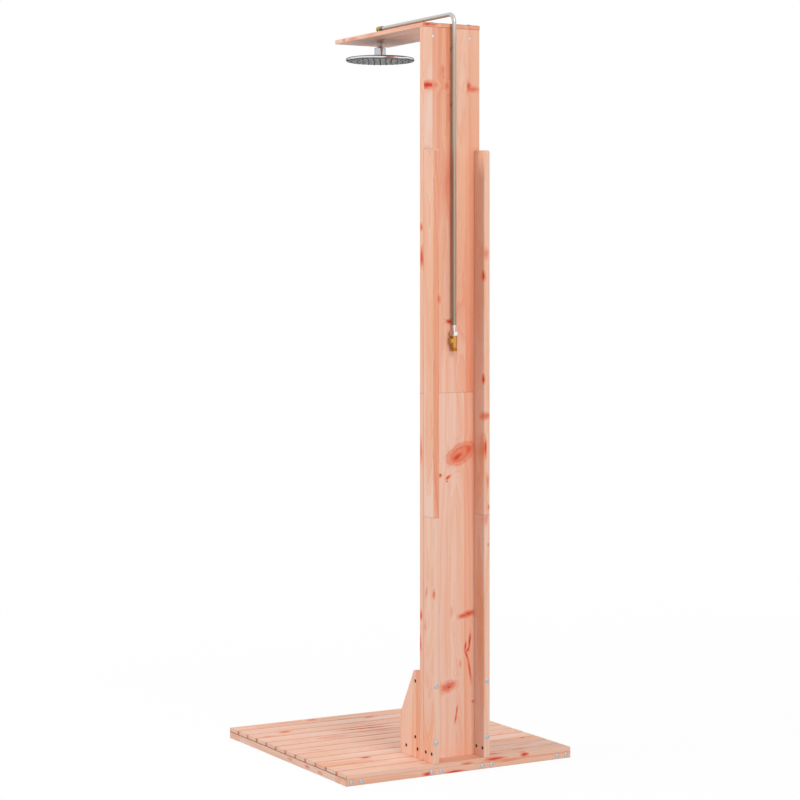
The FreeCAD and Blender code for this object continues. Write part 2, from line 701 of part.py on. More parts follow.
def riser_tube():
    """One bent tube: up behind the board, over the canopy and forward to the elbow."""
    foot = cell("tube_foot")
    bend = cell("tube_bend")
    top = (cell("frame_thick") + cell("slat_thick") + cell("lower_board_length")
           + cell("upper_board_length") + cell("canopy_thick") + cell("tube_rise"))
    end = -(cell("head_reach") + cell("tube_offset")) + cell("barrel_back") - cell("tube_insert")
    body = doc.addObject("PartDesign::Body", "riser_tube_body")
    path = body.newObject("Sketcher::SketchObject", "riser_tube_path")
    path.AttachmentSupport = [(origin_plane(body, "YZ_Plane"), "")]
    path.MapMode = "FlatFace"
    path.addGeometry(Part.LineSegment(Vector(0, foot, 0), Vector(0, top - bend, 0)))
    path.addGeometry(Part.ArcOfCircle(Part.Circle(Vector(-bend, top - bend, 0), Vector(0, 0, 1), bend),
                                      0, math.pi / 2))
    path.addGeometry(Part.LineSegment(Vector(-bend, top, 0), Vector(end, top, 0)))
    for rule in (("Tangent", 0, 2, 1, 1), ("Tangent", 1, 2, 2, 1), ("Vertical", 0), ("Horizontal", 2)):
        path.addConstraint(Sketcher.Constraint(*rule))
    sizes = (
        (("DistanceX", -1, 1, 0, 1, 0.0), 0),
        (("DistanceY", -1, 1, 0, 1, foot), "tube_foot"),
        (("Radius", 1, bend), "tube_bend"),
        (("DistanceY", -1, 1, 2, 2, top), TUBE_TOP),
        (("DistanceX", -1, 1, 2, 2, end), TUBE_END),
    )
    for rule, formula in sizes:
        pin = path.addConstraint(Sketcher.Constraint(*rule))
        path.setExpression("Constraints[%d]" % pin, bound(formula))
    section = body.newObject("Sketcher::SketchObject", "riser_tube_section")
    section.AttachmentSupport = [(origin_plane(body, "XY_Plane"), "")]
    section.MapMode = "FlatFace"
    section.setExpression("AttachmentOffset.Base.z", bound("tube_foot"))
    for size, formula in ((cell("tube_size") / 2, "tube_size / 2"),
                          (cell("tube_size") / 2 - cell("tube_wall"), "tube_size / 2 - tube_wall")):
        circle = section.addGeometry(Part.Circle(Vector(), Vector(0, 0, 1), size))
        section.addConstraint(Sketcher.Constraint("Coincident", circle, 3, -1, 1))
        pin = section.addConstraint(Sketcher.Constraint("Radius", circle, size))
        section.setExpression("Constraints[%d]" % pin, bound(formula))
    pipe = body.newObject("PartDesign::AdditivePipe", "riser_tube_pipe")
    pipe.Profile = section
    pipe.Spine = (path, ["Edge1", "Edge2", "Edge3"])
    path.Visibility = False
    section.Visibility = False
    return keep(put(body, (0, TUBE_Y, 0)), "riser_tube")


riser_tube()

bosses = []
for spot, height in BOSS_Z:
    bar = rod("boss_%s_bar" % spot, "boss_size", "tube_offset - tube_size / 6", (0, POST_BACK, height), "+Y")
    saddle = rod("boss_%s_saddle" % spot, "tube_size + tube_play", "boss_size + %s" % (2 * OVERRUN),
                 (0, TUBE_Y, "%s - boss_size / 2 - %s" % (height, OVERRUN)))
    tapped = drill("boss_%s_tap" % spot, SCREW_HOLE, "boss_screw_bite", (0, POST_BACK, height), "+Y")
    bosses.append(cut("boss_" + spot, bar, [saddle, tapped]))
keep(group("boss_group", bosses), "tube_bosses")

# ---------------------------------------------------------------- elbow over the canopy

BARREL_FACE = "(%s + barrel_back)" % HEAD_Y
ELBOW_BASE = "(%s + washer_thick)" % CANOPY_TOP

washer = turned("elbow_washer_ring", (
    ("spigot_size / 2 + bolt_hole_play / 2", 0),
    ("elbow_base_size / 2", 0),
    ("elbow_base_size / 2", "washer_thick"),
    ("spigot_size / 2 + bolt_hole_play / 2", "washer_thick"),
))
keep(put(washer, (0, HEAD_Y, CANOPY_TOP)), "elbow_washer")

base = turned("elbow_base", (
    (0, 0),
    ("elbow_base_size / 2 - 1", 0),
    ("elbow_base_size / 2", 1),
    ("elbow_base_size / 2", "elbow_base_height - 2"),
    ("leg_size / 2", "elbow_base_height"),
    ("leg_size / 2", "tube_rise - washer_thick - 3"),
    (0, "tube_rise - washer_thick - 3"),
))
put(base, (0, HEAD_Y, ELBOW_BASE))
barrel = turned("elbow_barrel", (
    (0, 0),
    ("barrel_size / 2 - 0.6", 0),
    ("barrel_size / 2", 0.6),
    ("barrel_size / 2", "barrel_length - barrel_size * 0.25"),
    ("barrel_size * 0.42", "barrel_length - barrel_size * 0.08"),
    ("barrel_size * 0.28", "barrel_length"),
    (0, "barrel_length"),
))
put(barrel, (0, BARREL_FACE, TUBE_TOP), TURNS["-Y"])
elbow_body = joined("elbow_body", [base, barrel])
keep(cut("elbow_bored", elbow_body, [
    drill("elbow_stem_socket", "spigot_size + thread_play", "spigot_rise", (0, HEAD_Y, ELBOW_BASE), "+Z"),
    drill("elbow_rise", "waterway", "tube_rise - washer_thick", (0, HEAD_Y, ELBOW_BASE), "+Z"),
    drill("elbow_tube_socket", "tube_size + tube_play", "tube_insert + 0.5",
          (0, BARREL_FACE, TUBE_TOP), "-Y"),
    drill("elbow_run", "waterway", "barrel_back", (0, BARREL_FACE, TUBE_TOP), "-Y"),
]), "elbow")

sleeve = turned("tube_nut_sleeve", (
    ("(tube_size + tube_play) / 2", 0),
    ("sleeve_nut_size / 2", 0),
    ("sleeve_nut_size / 2", "sleeve_nut_length - 1"),
    ("sleeve_nut_size / 2 - 0.6", "sleeve_nut_length"),
    ("(tube_size + tube_play) / 2", "sleeve_nut_length"),
))
keep(put(sleeve, (0, BARREL_FACE, TUBE_TOP), TURNS["+Y"]), "tube_nut")

# ---------------------------------------------------------------- stem and ball joint

# Heights here are measured from the centre of the ball.
stem = turned("stem_shaft", (
    (0, 0),
    ("neck_size / 2", 0),
    ("neck_size / 2", "neck_length - 1"),
    ("stem_size / 2 - 0.5", "neck_length"),
    ("stem_size / 2", "neck_length + 0.5"),
    ("stem_size / 2", "stem_drop - collar_thick"),
    ("collar_size / 2", "stem_drop - collar_thick"),
    ("collar_size / 2", "stem_drop"),
    ("spigot_size / 2", "stem_drop"),
    ("spigot_size / 2", "stem_drop + canopy_thick + washer_thick + spigot_rise"),
    (0, "stem_drop + canopy_thick + washer_thick + spigot_rise"),
))
put(stem, (0, HEAD_Y, BALL_Z))
stem_ball = ball("stem_ball", "ball_size", (0, HEAD_Y, BALL_Z))
stem_way = rod("stem_way", "waterway",
               "ball_size + stem_drop + canopy_thick + washer_thick + spigot_rise",
               (0, HEAD_Y, "%s - ball_size / 2 - %s" % (BALL_Z, OVERRUN)))
keep(cut("stem_bored", joined("stem_blank", [stem, stem_ball]), [stem_way]), "head_stem")

# The seat is a slice of a hollow sphere that cups the ball from below.
SEAT_OUTER = "ball_size + 2 * ball_play + 2 * seat_wall"
seat_shell = cut("seat_shell", ball("seat_outer", SEAT_OUTER, (0, HEAD_Y, BALL_Z)),
                 [ball("seat_inner", "ball_size + 2 * ball_play", (0, HEAD_Y, BALL_Z))])
seat_band = rod("seat_band", "2 * ball_size", "ball_size * 0.26",
                (0, HEAD_Y, "%s - ball_size * 0.41" % BALL_Z))
seat = doc.addObject("Part::MultiCommon", "seat_slice")
seat.Shapes = [seat_shell, seat_band]
keep(seat, "ball_seat")

socket_bore = "(socket_size / 2 + socket_play)"
ball_nut = turned("ball_nut_shell", (
    (socket_bore, "-head_below_ball"),
    ("ball_nut_size / 2 - 0.8", "-head_below_ball"),
    ("ball_nut_size / 2", "0.8 - head_below_ball"),
    ("ball_nut_size / 2", "ball_nut_rise - 1.2"),
    ("ball_nut_size / 2 - 1.2", "ball_nut_rise"),
    ("flare_size / 2", "ball_nut_rise"),
    ("ball_size / 2 - 2.5", "lip_height"),
    ("ball_size / 2 - 2.5", 0.5),
    (socket_bore, 0.5),
))
put(ball_nut, (0, HEAD_Y, BALL_Z))
keep(cut("ball_nut_bored", ball_nut,
         [ball("ball_nut_hollow", "ball_size + 2 * ball_play", (0, HEAD_Y, BALL_Z))]), "ball_nut")

# ---------------------------------------------------------------- shower head

# The head is a shallow pan turned about the ball's axis, closed below by the face plate;
# the mat lies on the plate, inside, and its nozzles reach out through the plate's holes.
HEAD_TOP = "(-head_below_ball)"
HEAD_FOOT = "(-head_below_ball - head_thick)"
FACE_SIZE = "(head_size / 2 - head_lip)"
LEDGE = "(-head_below_ball - head_thick + face_thick + mat_thick)"
shell = turned("head_shell_pan", (
    ("waterway / 2", "-ball_size * 0.36"),
    ("socket_size / 2", "-ball_size * 0.36"),
    ("socket_size / 2", HEAD_TOP),
    ("head_size / 2 - head_thick * 0.45", HEAD_TOP),
    ("head_size / 2 - head_thick * 0.16", "%s - head_thick * 0.12" % HEAD_TOP),
    ("head_size / 2 - head_thick * 0.03", "%s - head_thick * 0.3" % HEAD_TOP),
    ("head_size / 2", "%s - head_thick * 0.5" % HEAD_TOP),
    ("head_size / 2 - head_thick * 0.03", "%s - head_thick * 0.7" % HEAD_TOP),
    ("head_size / 2 - head_thick * 0.16", "%s + head_thick * 0.1" % HEAD_FOOT),
    ("head_size / 2 - head_thick * 0.3", HEAD_FOOT),
    (FACE_SIZE, HEAD_FOOT),
    (FACE_SIZE, LEDGE),
    ("head_size / 2 - 2 * head_lip", LEDGE),
    ("head_size / 2 - 2 * head_lip", "%s - head_skin" % HEAD_TOP),
    ("waterway / 2", "%s - head_skin" % HEAD_TOP),
))
put(shell, (0, HEAD_Y, BALL_Z))
keep(cut("head_shell_cupped", shell,
         [ball("head_cup", SEAT_OUTER + " + 2 * ball_play", (0, HEAD_Y, BALL_Z))]), "head_shell")

FOOT_Z = "%s - head_below_ball - head_thick" % BALL_Z
MAT_Z = "(%s + face_thick)" % FOOT_Z


NOZZLE_SIDES = 8


def many_sided(name, size, length, at):
    """A small upright bar with a few flat sides, for what repeats round the head."""
    item = doc.addObject("Part::Prism", name)
    item.Polygon = NOZZLE_SIDES
    bind(item, Circumradius="(%s) / 2" % size, Height=length)
    return put(item, at)


def on_rings(prefix, make):
    """One copy at the middle, then six, twelve, eighteen and so on round each ring."""
    copies = list(make(prefix + "_middle", "0", HEAD_Y))
    for ring in range(1, int(cell("nozzle_rings")) + 1):
        for number in range(6 * ring):
            angle = math.tau * number / (6 * ring)
            copies += make("%s_%d_%d" % (prefix, ring, number),
                           "nozzle_pitch * %.6f" % (ring * math.cos(angle)),
                           "%s + nozzle_pitch * %.6f" % (HEAD_Y, ring * math.sin(angle)))
    return copies


def plate_hole(name, across, along):
    return [many_sided(name, "nozzle_root + 2 * nozzle_play", "face_thick + %s" % (2 * OVERRUN),
                       (across, along, "%s - %s" % (FOOT_Z, OVERRUN)))]


def nozzle(name, across, along):
    """A collar that fills the plate's hole, rooted in the mat, and a finer tip below it."""
    return [many_sided(name + "_collar", "nozzle_root", "face_thick + mat_thick / 2",
                       (across, along, FOOT_Z)),
            many_sided(name + "_tip", "nozzle_tip", "nozzle_length - face_thick / 2",
                       (across, along, "%s - nozzle_length + face_thick" % FOOT_Z))]


plate = rod("face_blank", "2 * (%s - face_play)" % FACE_SIZE, "face_thick", (0, HEAD_Y, FOOT_Z))
keep(cut("face_holed", plate, on_rings("face", plate_hole)), "face_plate")
mat = rod("mat_blank", "2 * (%s - face_play)" % FACE_SIZE, "mat_thick", (0, HEAD_Y, MAT_Z))
keep(joined("mat_studded", [mat] + on_rings("mat", nozzle)), "nozzle_mat")

# ---------------------------------------------------------------- tail fitting

# Heights here are measured from the foot of the riser tube.
FOOT = (0, TUBE_Y, "tube_foot")
UNION_FOOT = "(adapter_length + union_length)"
FLANGE_TOP = "(adapter_length + union_shoulder + 0.3)"
SEAL_TOP = "(%s + 3)" % FLANGE_TOP
BODY_TOP = "(%s + seal_thick)" % SEAL_TOP
BODY_FOOT = "(%s + valve_length)" % UNION_FOOT

adapter = turned("tube_adapter_piece", (
    ("valve_bore / 2", "adapter_spigot"),
    ("tube_size / 2 - tube_wall - tube_play / 2", "adapter_spigot"),
    ("tube_size / 2 - tube_wall - tube_play / 2", 0),
    ("tube_size / 2", 0),
    ("tube_size / 2", -2),
    ("adapter_neck / 2", "3 - adapter_length"),
    ("adapter_neck / 2", "-" + FLANGE_TOP),
    ("adapter_flange / 2", "-" + FLANGE_TOP),
    ("adapter_flange / 2", "-" + SEAL_TOP),
    ("valve_bore / 2", "-" + SEAL_TOP),
))
keep(put(adapter, FOOT), "tube_adapter")

union = turned("union_nut_ring", (
    ("adapter_neck / 2 + 0.3", "-adapter_length"),
    ("union_size / 2 - 2.4", "-adapter_length"),
    ("union_size / 2 - 0.6", "-adapter_length - 1"),
    ("union_size / 2", "-adapter_length - 3"),
    ("union_size / 2", "3 - " + UNION_FOOT),
    ("union_size / 2 - 0.6", "1 - " + UNION_FOOT),
    ("union_size / 2 - 2.4", "-" + UNION_FOOT),
    ("valve_size / 2 + 0.3", "-" + UNION_FOOT),
    ("valve_size / 2 + 0.3", "-adapter_length - union_shoulder"),
    ("adapter_neck / 2 + 0.3", "-adapter_length - union_shoulder"),
))
keep(put(union, FOOT), "union_nut")

seal = turned("union_seal_ring", (
    ("valve_bore / 2", "-" + SEAL_TOP),
    ("adapter_flange / 2", "-" + SEAL_TOP),
    ("adapter_flange / 2", "-" + BODY_TOP),
    ("valve_bore / 2", "-" + BODY_TOP),
))
keep(put(seal, FOOT), "union_seal")

VALVE_CENTRE = (0, TUBE_Y, "tube_foot - valve_drop")
BALL_WAY = "valve_ball_size + 6 * running_play"
body_bar = turned("valve_body_bar", (
    (0, "-" + BODY_TOP),
    ("valve_size / 2", "-" + BODY_TOP),
    ("valve_size / 2", "-" + BODY_FOOT),
    (0, "-" + BODY_FOOT),
))
put(body_bar, FOOT)
boss = turned("valve_boss", (
    (0, 0),
    ("valve_boss_size / 2", 0),
    ("valve_boss_size / 2", "valve_boss_reach - 1"),
    ("valve_boss_size / 2 - 1", "valve_boss_reach"),
    (0, "valve_boss_reach"),
))
put(boss, VALVE_CENTRE, TURNS["+X"])
boss_face = away(VALVE_CENTRE, "+X", "valve_boss_reach")
keep(cut("valve_body_bored", joined("valve_body_blank", [body_bar, boss]), [
    drill("valve_way", "valve_bore", "valve_drop - %s" % BODY_TOP,
          (0, TUBE_Y, "tube_foot - %s" % BODY_TOP), "-Z"),
    ball("valve_ball_way", BALL_WAY, VALVE_CENTRE),
    drill("valve_tail_bore", BALL_WAY, "%s - valve_drop" % BODY_FOOT,
          (0, TUBE_Y, "tube_foot - %s" % BODY_FOOT), "+Z"),
    drill("spindle_way", "spindle_size + running_play", "valve_boss_reach", boss_face, "-X"),
    drill("spindle_head_way", "spindle_head_size + 4 * running_play", "spindle_head_thick - 0.6",
          boss_face, "-X"),
]), "valve_body")

ball_flat = block("valve_ball_flat_cut", ("valve_ball_size", "valve_ball_size", "valve_ball_size"),
                  ("valve_ball_flat", "%s - valve_ball_size / 2" % TUBE_Y,
                   "tube_foot - valve_drop - valve_ball_size / 2"))
ball_bore = rod("valve_ball_bore", "valve_bore", "valve_ball_size + %s" % (2 * OVERRUN),
                (0, TUBE_Y, "tube_foot - valve_drop - valve_ball_size / 2 - %s" % OVERRUN))
keep(cut("valve_ball_cut", ball("valve_ball_blank", "valve_ball_size", VALVE_CENTRE),
         [ball_flat, ball_bore]), "valve_ball")

# The spindle's head stands a little proud of its boss; its slot lies along the tube when open.
SPINDLE_REACH = "(valve_boss_reach + 0.6 - valve_ball_flat)"
spindle = turned("spindle_piece", (
    (0, 0),
    ("spindle_size / 2", 0),
    ("spindle_size / 2", "%s - spindle_head_thick" % SPINDLE_REACH),
    ("spindle_head_size / 2", "%s - spindle_head_thick" % SPINDLE_REACH),
    ("spindle_head_size / 2", "%s - 0.5" % SPINDLE_REACH),
    ("spindle_head_size / 2 - 0.5", SPINDLE_REACH),
    (0, SPINDLE_REACH),
))
put(spindle, away(VALVE_CENTRE, "+X", "valve_ball_flat"), TURNS["+X"])
slot = block("spindle_slot",
             ("slot_depth + %s" % OVERRUN, "slot_width", "spindle_head_size + %s" % (2 * OVERRUN)),
             ("valve_boss_reach + 0.6 - slot_depth", "%s - slot_width / 2" % TUBE_Y,
              "tube_foot - valve_drop - spindle_head_size / 2 - %s" % OVERRUN))
keep(cut("spindle_slotted", spindle, [slot]), "valve_spindle")

nipple = turned("hose_nipple_piece", (
    ("valve_bore / 2", "-(%s + nipple_length)" % BODY_FOOT),
    ("nipple_size / 2 - 0.8", "-(%s + nipple_length)" % BODY_FOOT),
    ("nipple_size / 2", "0.8 - (%s + nipple_length)" % BODY_FOOT),
    ("nipple_size / 2", "-" + BODY_FOOT),
    ("valve_ball_size / 2 + running_play * 2", "-" + BODY_FOOT),
    ("valve_ball_size / 2 + running_play * 2", "-(valve_drop + valve_ball_size / 2 + 0.4)"),
    ("valve_bore / 2", "-(valve_drop + valve_ball_size / 2 + 0.4)"),
))
keep(put(nipple, FOOT), "hose_nipple")

# ---------------------------------------------------------------- checks and export

doc.recompute()
faults = [item.Name for item in doc.Objects if "Invalid" in item.State or "Error" in item.State]
for item in nodes:
    if item.Shape.isNull() or not item.Shape.isValid():
        faults.append(item.Label)
if faults:
    raise RuntimeError("failed features: " + ", ".join(faults))

os.makedirs("parts", exist_ok=True)
for item in nodes:
    item.Shape.exportStep("parts/%s.step" % item.Label)
    print("%-20s %3d solids %12.1f mm3" % (item.Label, len(item.Shape.Solids), item.Shape.Volume))
print(len(nodes), "nodes")
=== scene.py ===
import math

import bmesh
import bpy
from mathutils import Matrix, Vector


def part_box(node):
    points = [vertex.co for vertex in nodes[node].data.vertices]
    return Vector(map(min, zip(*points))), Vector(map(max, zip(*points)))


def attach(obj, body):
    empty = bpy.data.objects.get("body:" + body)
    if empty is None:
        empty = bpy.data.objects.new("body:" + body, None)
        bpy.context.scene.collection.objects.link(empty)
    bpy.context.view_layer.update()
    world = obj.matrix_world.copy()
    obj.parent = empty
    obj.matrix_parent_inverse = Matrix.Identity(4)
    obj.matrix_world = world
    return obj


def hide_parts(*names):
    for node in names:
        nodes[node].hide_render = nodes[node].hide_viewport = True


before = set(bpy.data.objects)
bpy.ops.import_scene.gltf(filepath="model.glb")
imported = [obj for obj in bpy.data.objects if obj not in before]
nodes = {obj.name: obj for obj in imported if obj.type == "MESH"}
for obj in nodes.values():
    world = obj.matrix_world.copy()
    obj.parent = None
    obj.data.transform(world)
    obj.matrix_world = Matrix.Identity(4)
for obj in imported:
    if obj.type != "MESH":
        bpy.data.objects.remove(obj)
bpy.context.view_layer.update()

# ---------------------------------------------------------------- view and colours

scene = bpy.context.scene
scene.view_settings.view_transform = "Standard"

view = bpy.data.cameras.new("photo_view")
view.lens = 97.25
view.sensor_width = 36
view.shift_y = -0.1431
camera = bpy.data.objects.new("photo_view", view)
camera.location = (3.084, 5.372, 1.324)
camera.rotation_euler = (math.radians(90), 0, math.radians(180 - 29.95))
scene.collection.objects.link(camera)
scene.camera = camera


def colour(red, green, blue):
    """A colour as a paint chart gives it, 0 to 255, in the values that the shader takes."""
    parts = [part / 255 for part in (red, green, blue)]
    return tuple(part / 12.92 if part <= 0.04045 else ((part + 0.055) / 1.055) ** 2.4
                 for part in parts) + (1,)


class Tree:
    """Lays out shader nodes; each step hands back the socket that it makes."""

    def __init__(self, tree):
        self.tree = tree
        self.tree.nodes.clear()

    def add(self, kind, feeds=(), **settings):
        step = self.tree.nodes.new(kind)
        for name, value in settings.items():
            setattr(step, name, value)
        for socket, value in feeds:
            self.feed(step.inputs[socket], value)
        return step

    def feed(self, socket, value):
        if isinstance(value, bpy.types.NodeSocket):
            self.tree.links.new(value, socket)
        else:
            socket.default_value = value

    def place(self):
        return self.add("ShaderNodeTexCoord").outputs["Object"]

    def mapped(self, point, move=(0, 0, 0), turn=(0, 0, 0), scale=(1, 1, 1)):
        feeds = (("Vector", point), ("Location", move), ("Rotation", turn), ("Scale", scale))
        return self.add("ShaderNodeMapping", feeds, vector_type="POINT").outputs[0]

    def maths(self, kind, first, second=0.0, third=0.0, clamp=False):
        feeds = ((0, first), (1, second), (2, third))
        return self.add("ShaderNodeMath", feeds, operation=kind, use_clamp=clamp).outputs[0]

    def swing(self, value, reach):
        """Turns a pattern of 0 to 1 into a shift of as much to either side."""
        return self.maths("MULTIPLY_ADD", value, reach, -reach / 2)

    def length(self, vector):
        return self.add("ShaderNodeVectorMath", ((0, vector),), operation="LENGTH").outputs["Value"]

    def joined(self, x, y, z):
        return self.add("ShaderNodeCombineXYZ", ((0, x), (1, y), (2, z))).outputs[0]

    def parted(self, point):
        return self.add("ShaderNodeSeparateXYZ", ((0, point),)).outputs

    def cloud(self, point, scale, detail=2.0, roughness=0.5):
        feeds = (("Vector", point), ("Scale", scale), ("Detail", detail), ("Roughness", roughness))
        return self.add("ShaderNodeTexNoise", feeds).outputs["Fac"]

    def cloud_along(self, value, scale, detail=2.0):
        """A pattern that varies with one number alone, such as from ring to ring."""
        feeds = (("W", value), ("Scale", scale), ("Detail", detail))
        return self.add("ShaderNodeTexNoise", feeds, noise_dimensions="1D").outputs["Fac"]

    def spread(self, value, low, high, to_low=0.0, to_high=1.0, kind="SMOOTHSTEP"):
        feeds = ((0, value), (1, low), (2, high), (3, to_low), (4, to_high))
        return self.add("ShaderNodeMapRange", feeds, interpolation_type=kind).outputs[0]

    def ramp(self, value, stops, kind="LINEAR"):
        step = self.add("ShaderNodeValToRGB", ((0, value),))
        band = step.color_ramp
        band.interpolation = kind
        while len(band.elements) < len(stops):
            band.elements.new(0.5)
        for element, (spot, shade) in zip(band.elements, stops):
            element.position = spot
            element.color = shade
        return step.outputs[0]

    def mixed(self, share, first, second):
        step = self.add("ShaderNodeMix", data_type="RGBA", blend_type="MIX")
        self.feed(step.inputs[0], share)
        self.feed(step.inputs[6], first)
        self.feed(step.inputs[7], second)
        return step.outputs[2]

    def blended(self, share, first, second):
        """One shader into another, by share."""
        return self.add("ShaderNodeMixShader", ((0, share), (1, first), (2, second))).outputs[0]

    def seen(self):
        """1 where the eye, a mirror or a glass looks, and 0 where light is only passed on."""
        rays = self.add("ShaderNodeLightPath").outputs
        mirrored = self.maths("MAXIMUM", rays["Is Glossy Ray"], rays["Is Transmission Ray"])
        return self.maths("MAXIMUM", rays["Is Camera Ray"], mirrored)


class Bench(Tree):
    """One finish, with its shader."""

    def __init__(self, name):
        self.finish = bpy.data.materials.new(name)
        self.finish.use_nodes = True
        super().__init__(self.finish.node_tree)
        self.out = self.tree.nodes.new("ShaderNodeOutputMaterial")
        self.shader = self.tree.nodes.new("ShaderNodeBsdfPrincipled")
        self.tree.links.new(self.shader.outputs["BSDF"], self.out.inputs["Surface"])

    def set(self, **values):
        for name, value in values.items():
            self.feed(self.shader.inputs[name.replace("_", " ")], value)

    def bump(self, height, depth, strength=1.0):
        feeds = (("Height", height), ("Distance", depth), ("Strength", strength))
        self.feed(self.shader.inputs["Normal"], self.add("ShaderNodeBump", feeds).outputs[0])


# ---------------------------------------------------------------- fir boards

PALE = colour(244, 206, 188)
BLUSH = colour(242, 190, 164)
AMBER = colour(237, 162, 131)
ROSE = colour(229, 136, 105)
HONEY = colour(242, 178, 134)
KNOT_HEART = colour(186, 34, 30)
KNOT_RED = colour(220, 66, 46)
KNOT_HALO = colour(232, 122, 86)
KNOT_EDGE = colour(222, 96, 66)
KNOT_FLESH = colour(234, 138, 104)
KNOT_SKIN = colour(238, 160, 128)
KNOT_PALE = colour(238, 168, 138)
SEAM = colour(140, 74, 52)
# painted shade, for the dark line along the face a board's ends rest on, as under the slats' ends on
# the beams
PAINTED_GAP_SHADE = colour(92, 62, 50)

# for each lie of the grain: which coordinates run across the board, through it and along it
ORDERS = {"X": (1, 2, 0), "Y": (0, 2, 1), "Z": (0, 1, 2), "Z side": (1, 0, 2)}
# the axis, by number, that a knot is tilted about
TILT_AXES = {"X": 2, "Y": 2, "Z": 1, "Z side": 0}
STRIP_REACH = 0.1       # metres to either side of the middle that the strips' ramps cover
RINGS_PER_METRE = 300.0
KNOT_PULL = 0.010       # metres by which a full knot bends the rings round it
WIDE_KNOT = (0.038, 0.06)
RELIEF = 0.0004


def strip_tones(bench, staves, across, height):
    """The tone of a glued board's strips, and the shift of the log's heart from one to another."""
    tops, feet, hearts = [], [], []
    start = 0.0
    for edge, top, foot, shift in sorted(staves):
        for stops, value in ((tops, top), (feet, foot), (hearts, shift)):
            stops.append((start, (value, value, value, 1)))
        start = (edge + STRIP_REACH) / (2 * STRIP_REACH)
    spot = bench.maths("MULTIPLY_ADD", across, 0.5 / STRIP_REACH, 0.5)
    tone = bench.mixed(height, bench.ramp(spot, feet, "CONSTANT"), bench.ramp(spot, tops, "CONSTANT"))
    heart = bench.maths("MULTIPLY_ADD", bench.ramp(spot, hearts, "CONSTANT"), 0.4, -0.2)
    return bench.parted(tone)[0], heart


def knot_distance(bench, offset, radii, turn, wide):
    """How far a point is from a knot's heart, 1 at its rim, with a ragged outline."""
    turned_to = bench.mapped(offset, turn=turn)
    shaped = bench.mapped(turned_to, scale=tuple(1 / part for part in radii))
    ragged = bench.swing(bench.cloud(shaped, 1.1, 4.0, 0.65), 0.7 if wide else 1.5)
    return bench.maths("ADD", bench.length(shaped), ragged)


def stained(bench, wood, year, away, strength, wide):
    """Lays one knot's colours over the wood: rings in a wide one, a blot in a small one."""
    if wide:
        stops = ((0.0, KNOT_HALO), (0.2, KNOT_FLESH), (0.33, KNOT_EDGE), (0.40, KNOT_HALO),
                 (0.47, KNOT_SKIN), (0.54, KNOT_EDGE), (0.6, KNOT_PALE))
        rim, full, waver = 1.45, 0.8, 0.1
    else:
        stops = ((0.0, KNOT_HEART), (0.22, KNOT_RED), (0.5, KNOT_HALO), (1.0, AMBER))
        rim, full, waver = 1.9, 0.5, 0.22
    ringed = bench.maths("MULTIPLY_ADD", year, waver, away)
    stain = bench.ramp(bench.maths("MULTIPLY", ringed, 0.5, clamp=True), stops)
    return bench.mixed(bench.spread(away, rim, full, 0.0, strength), wood, stain)


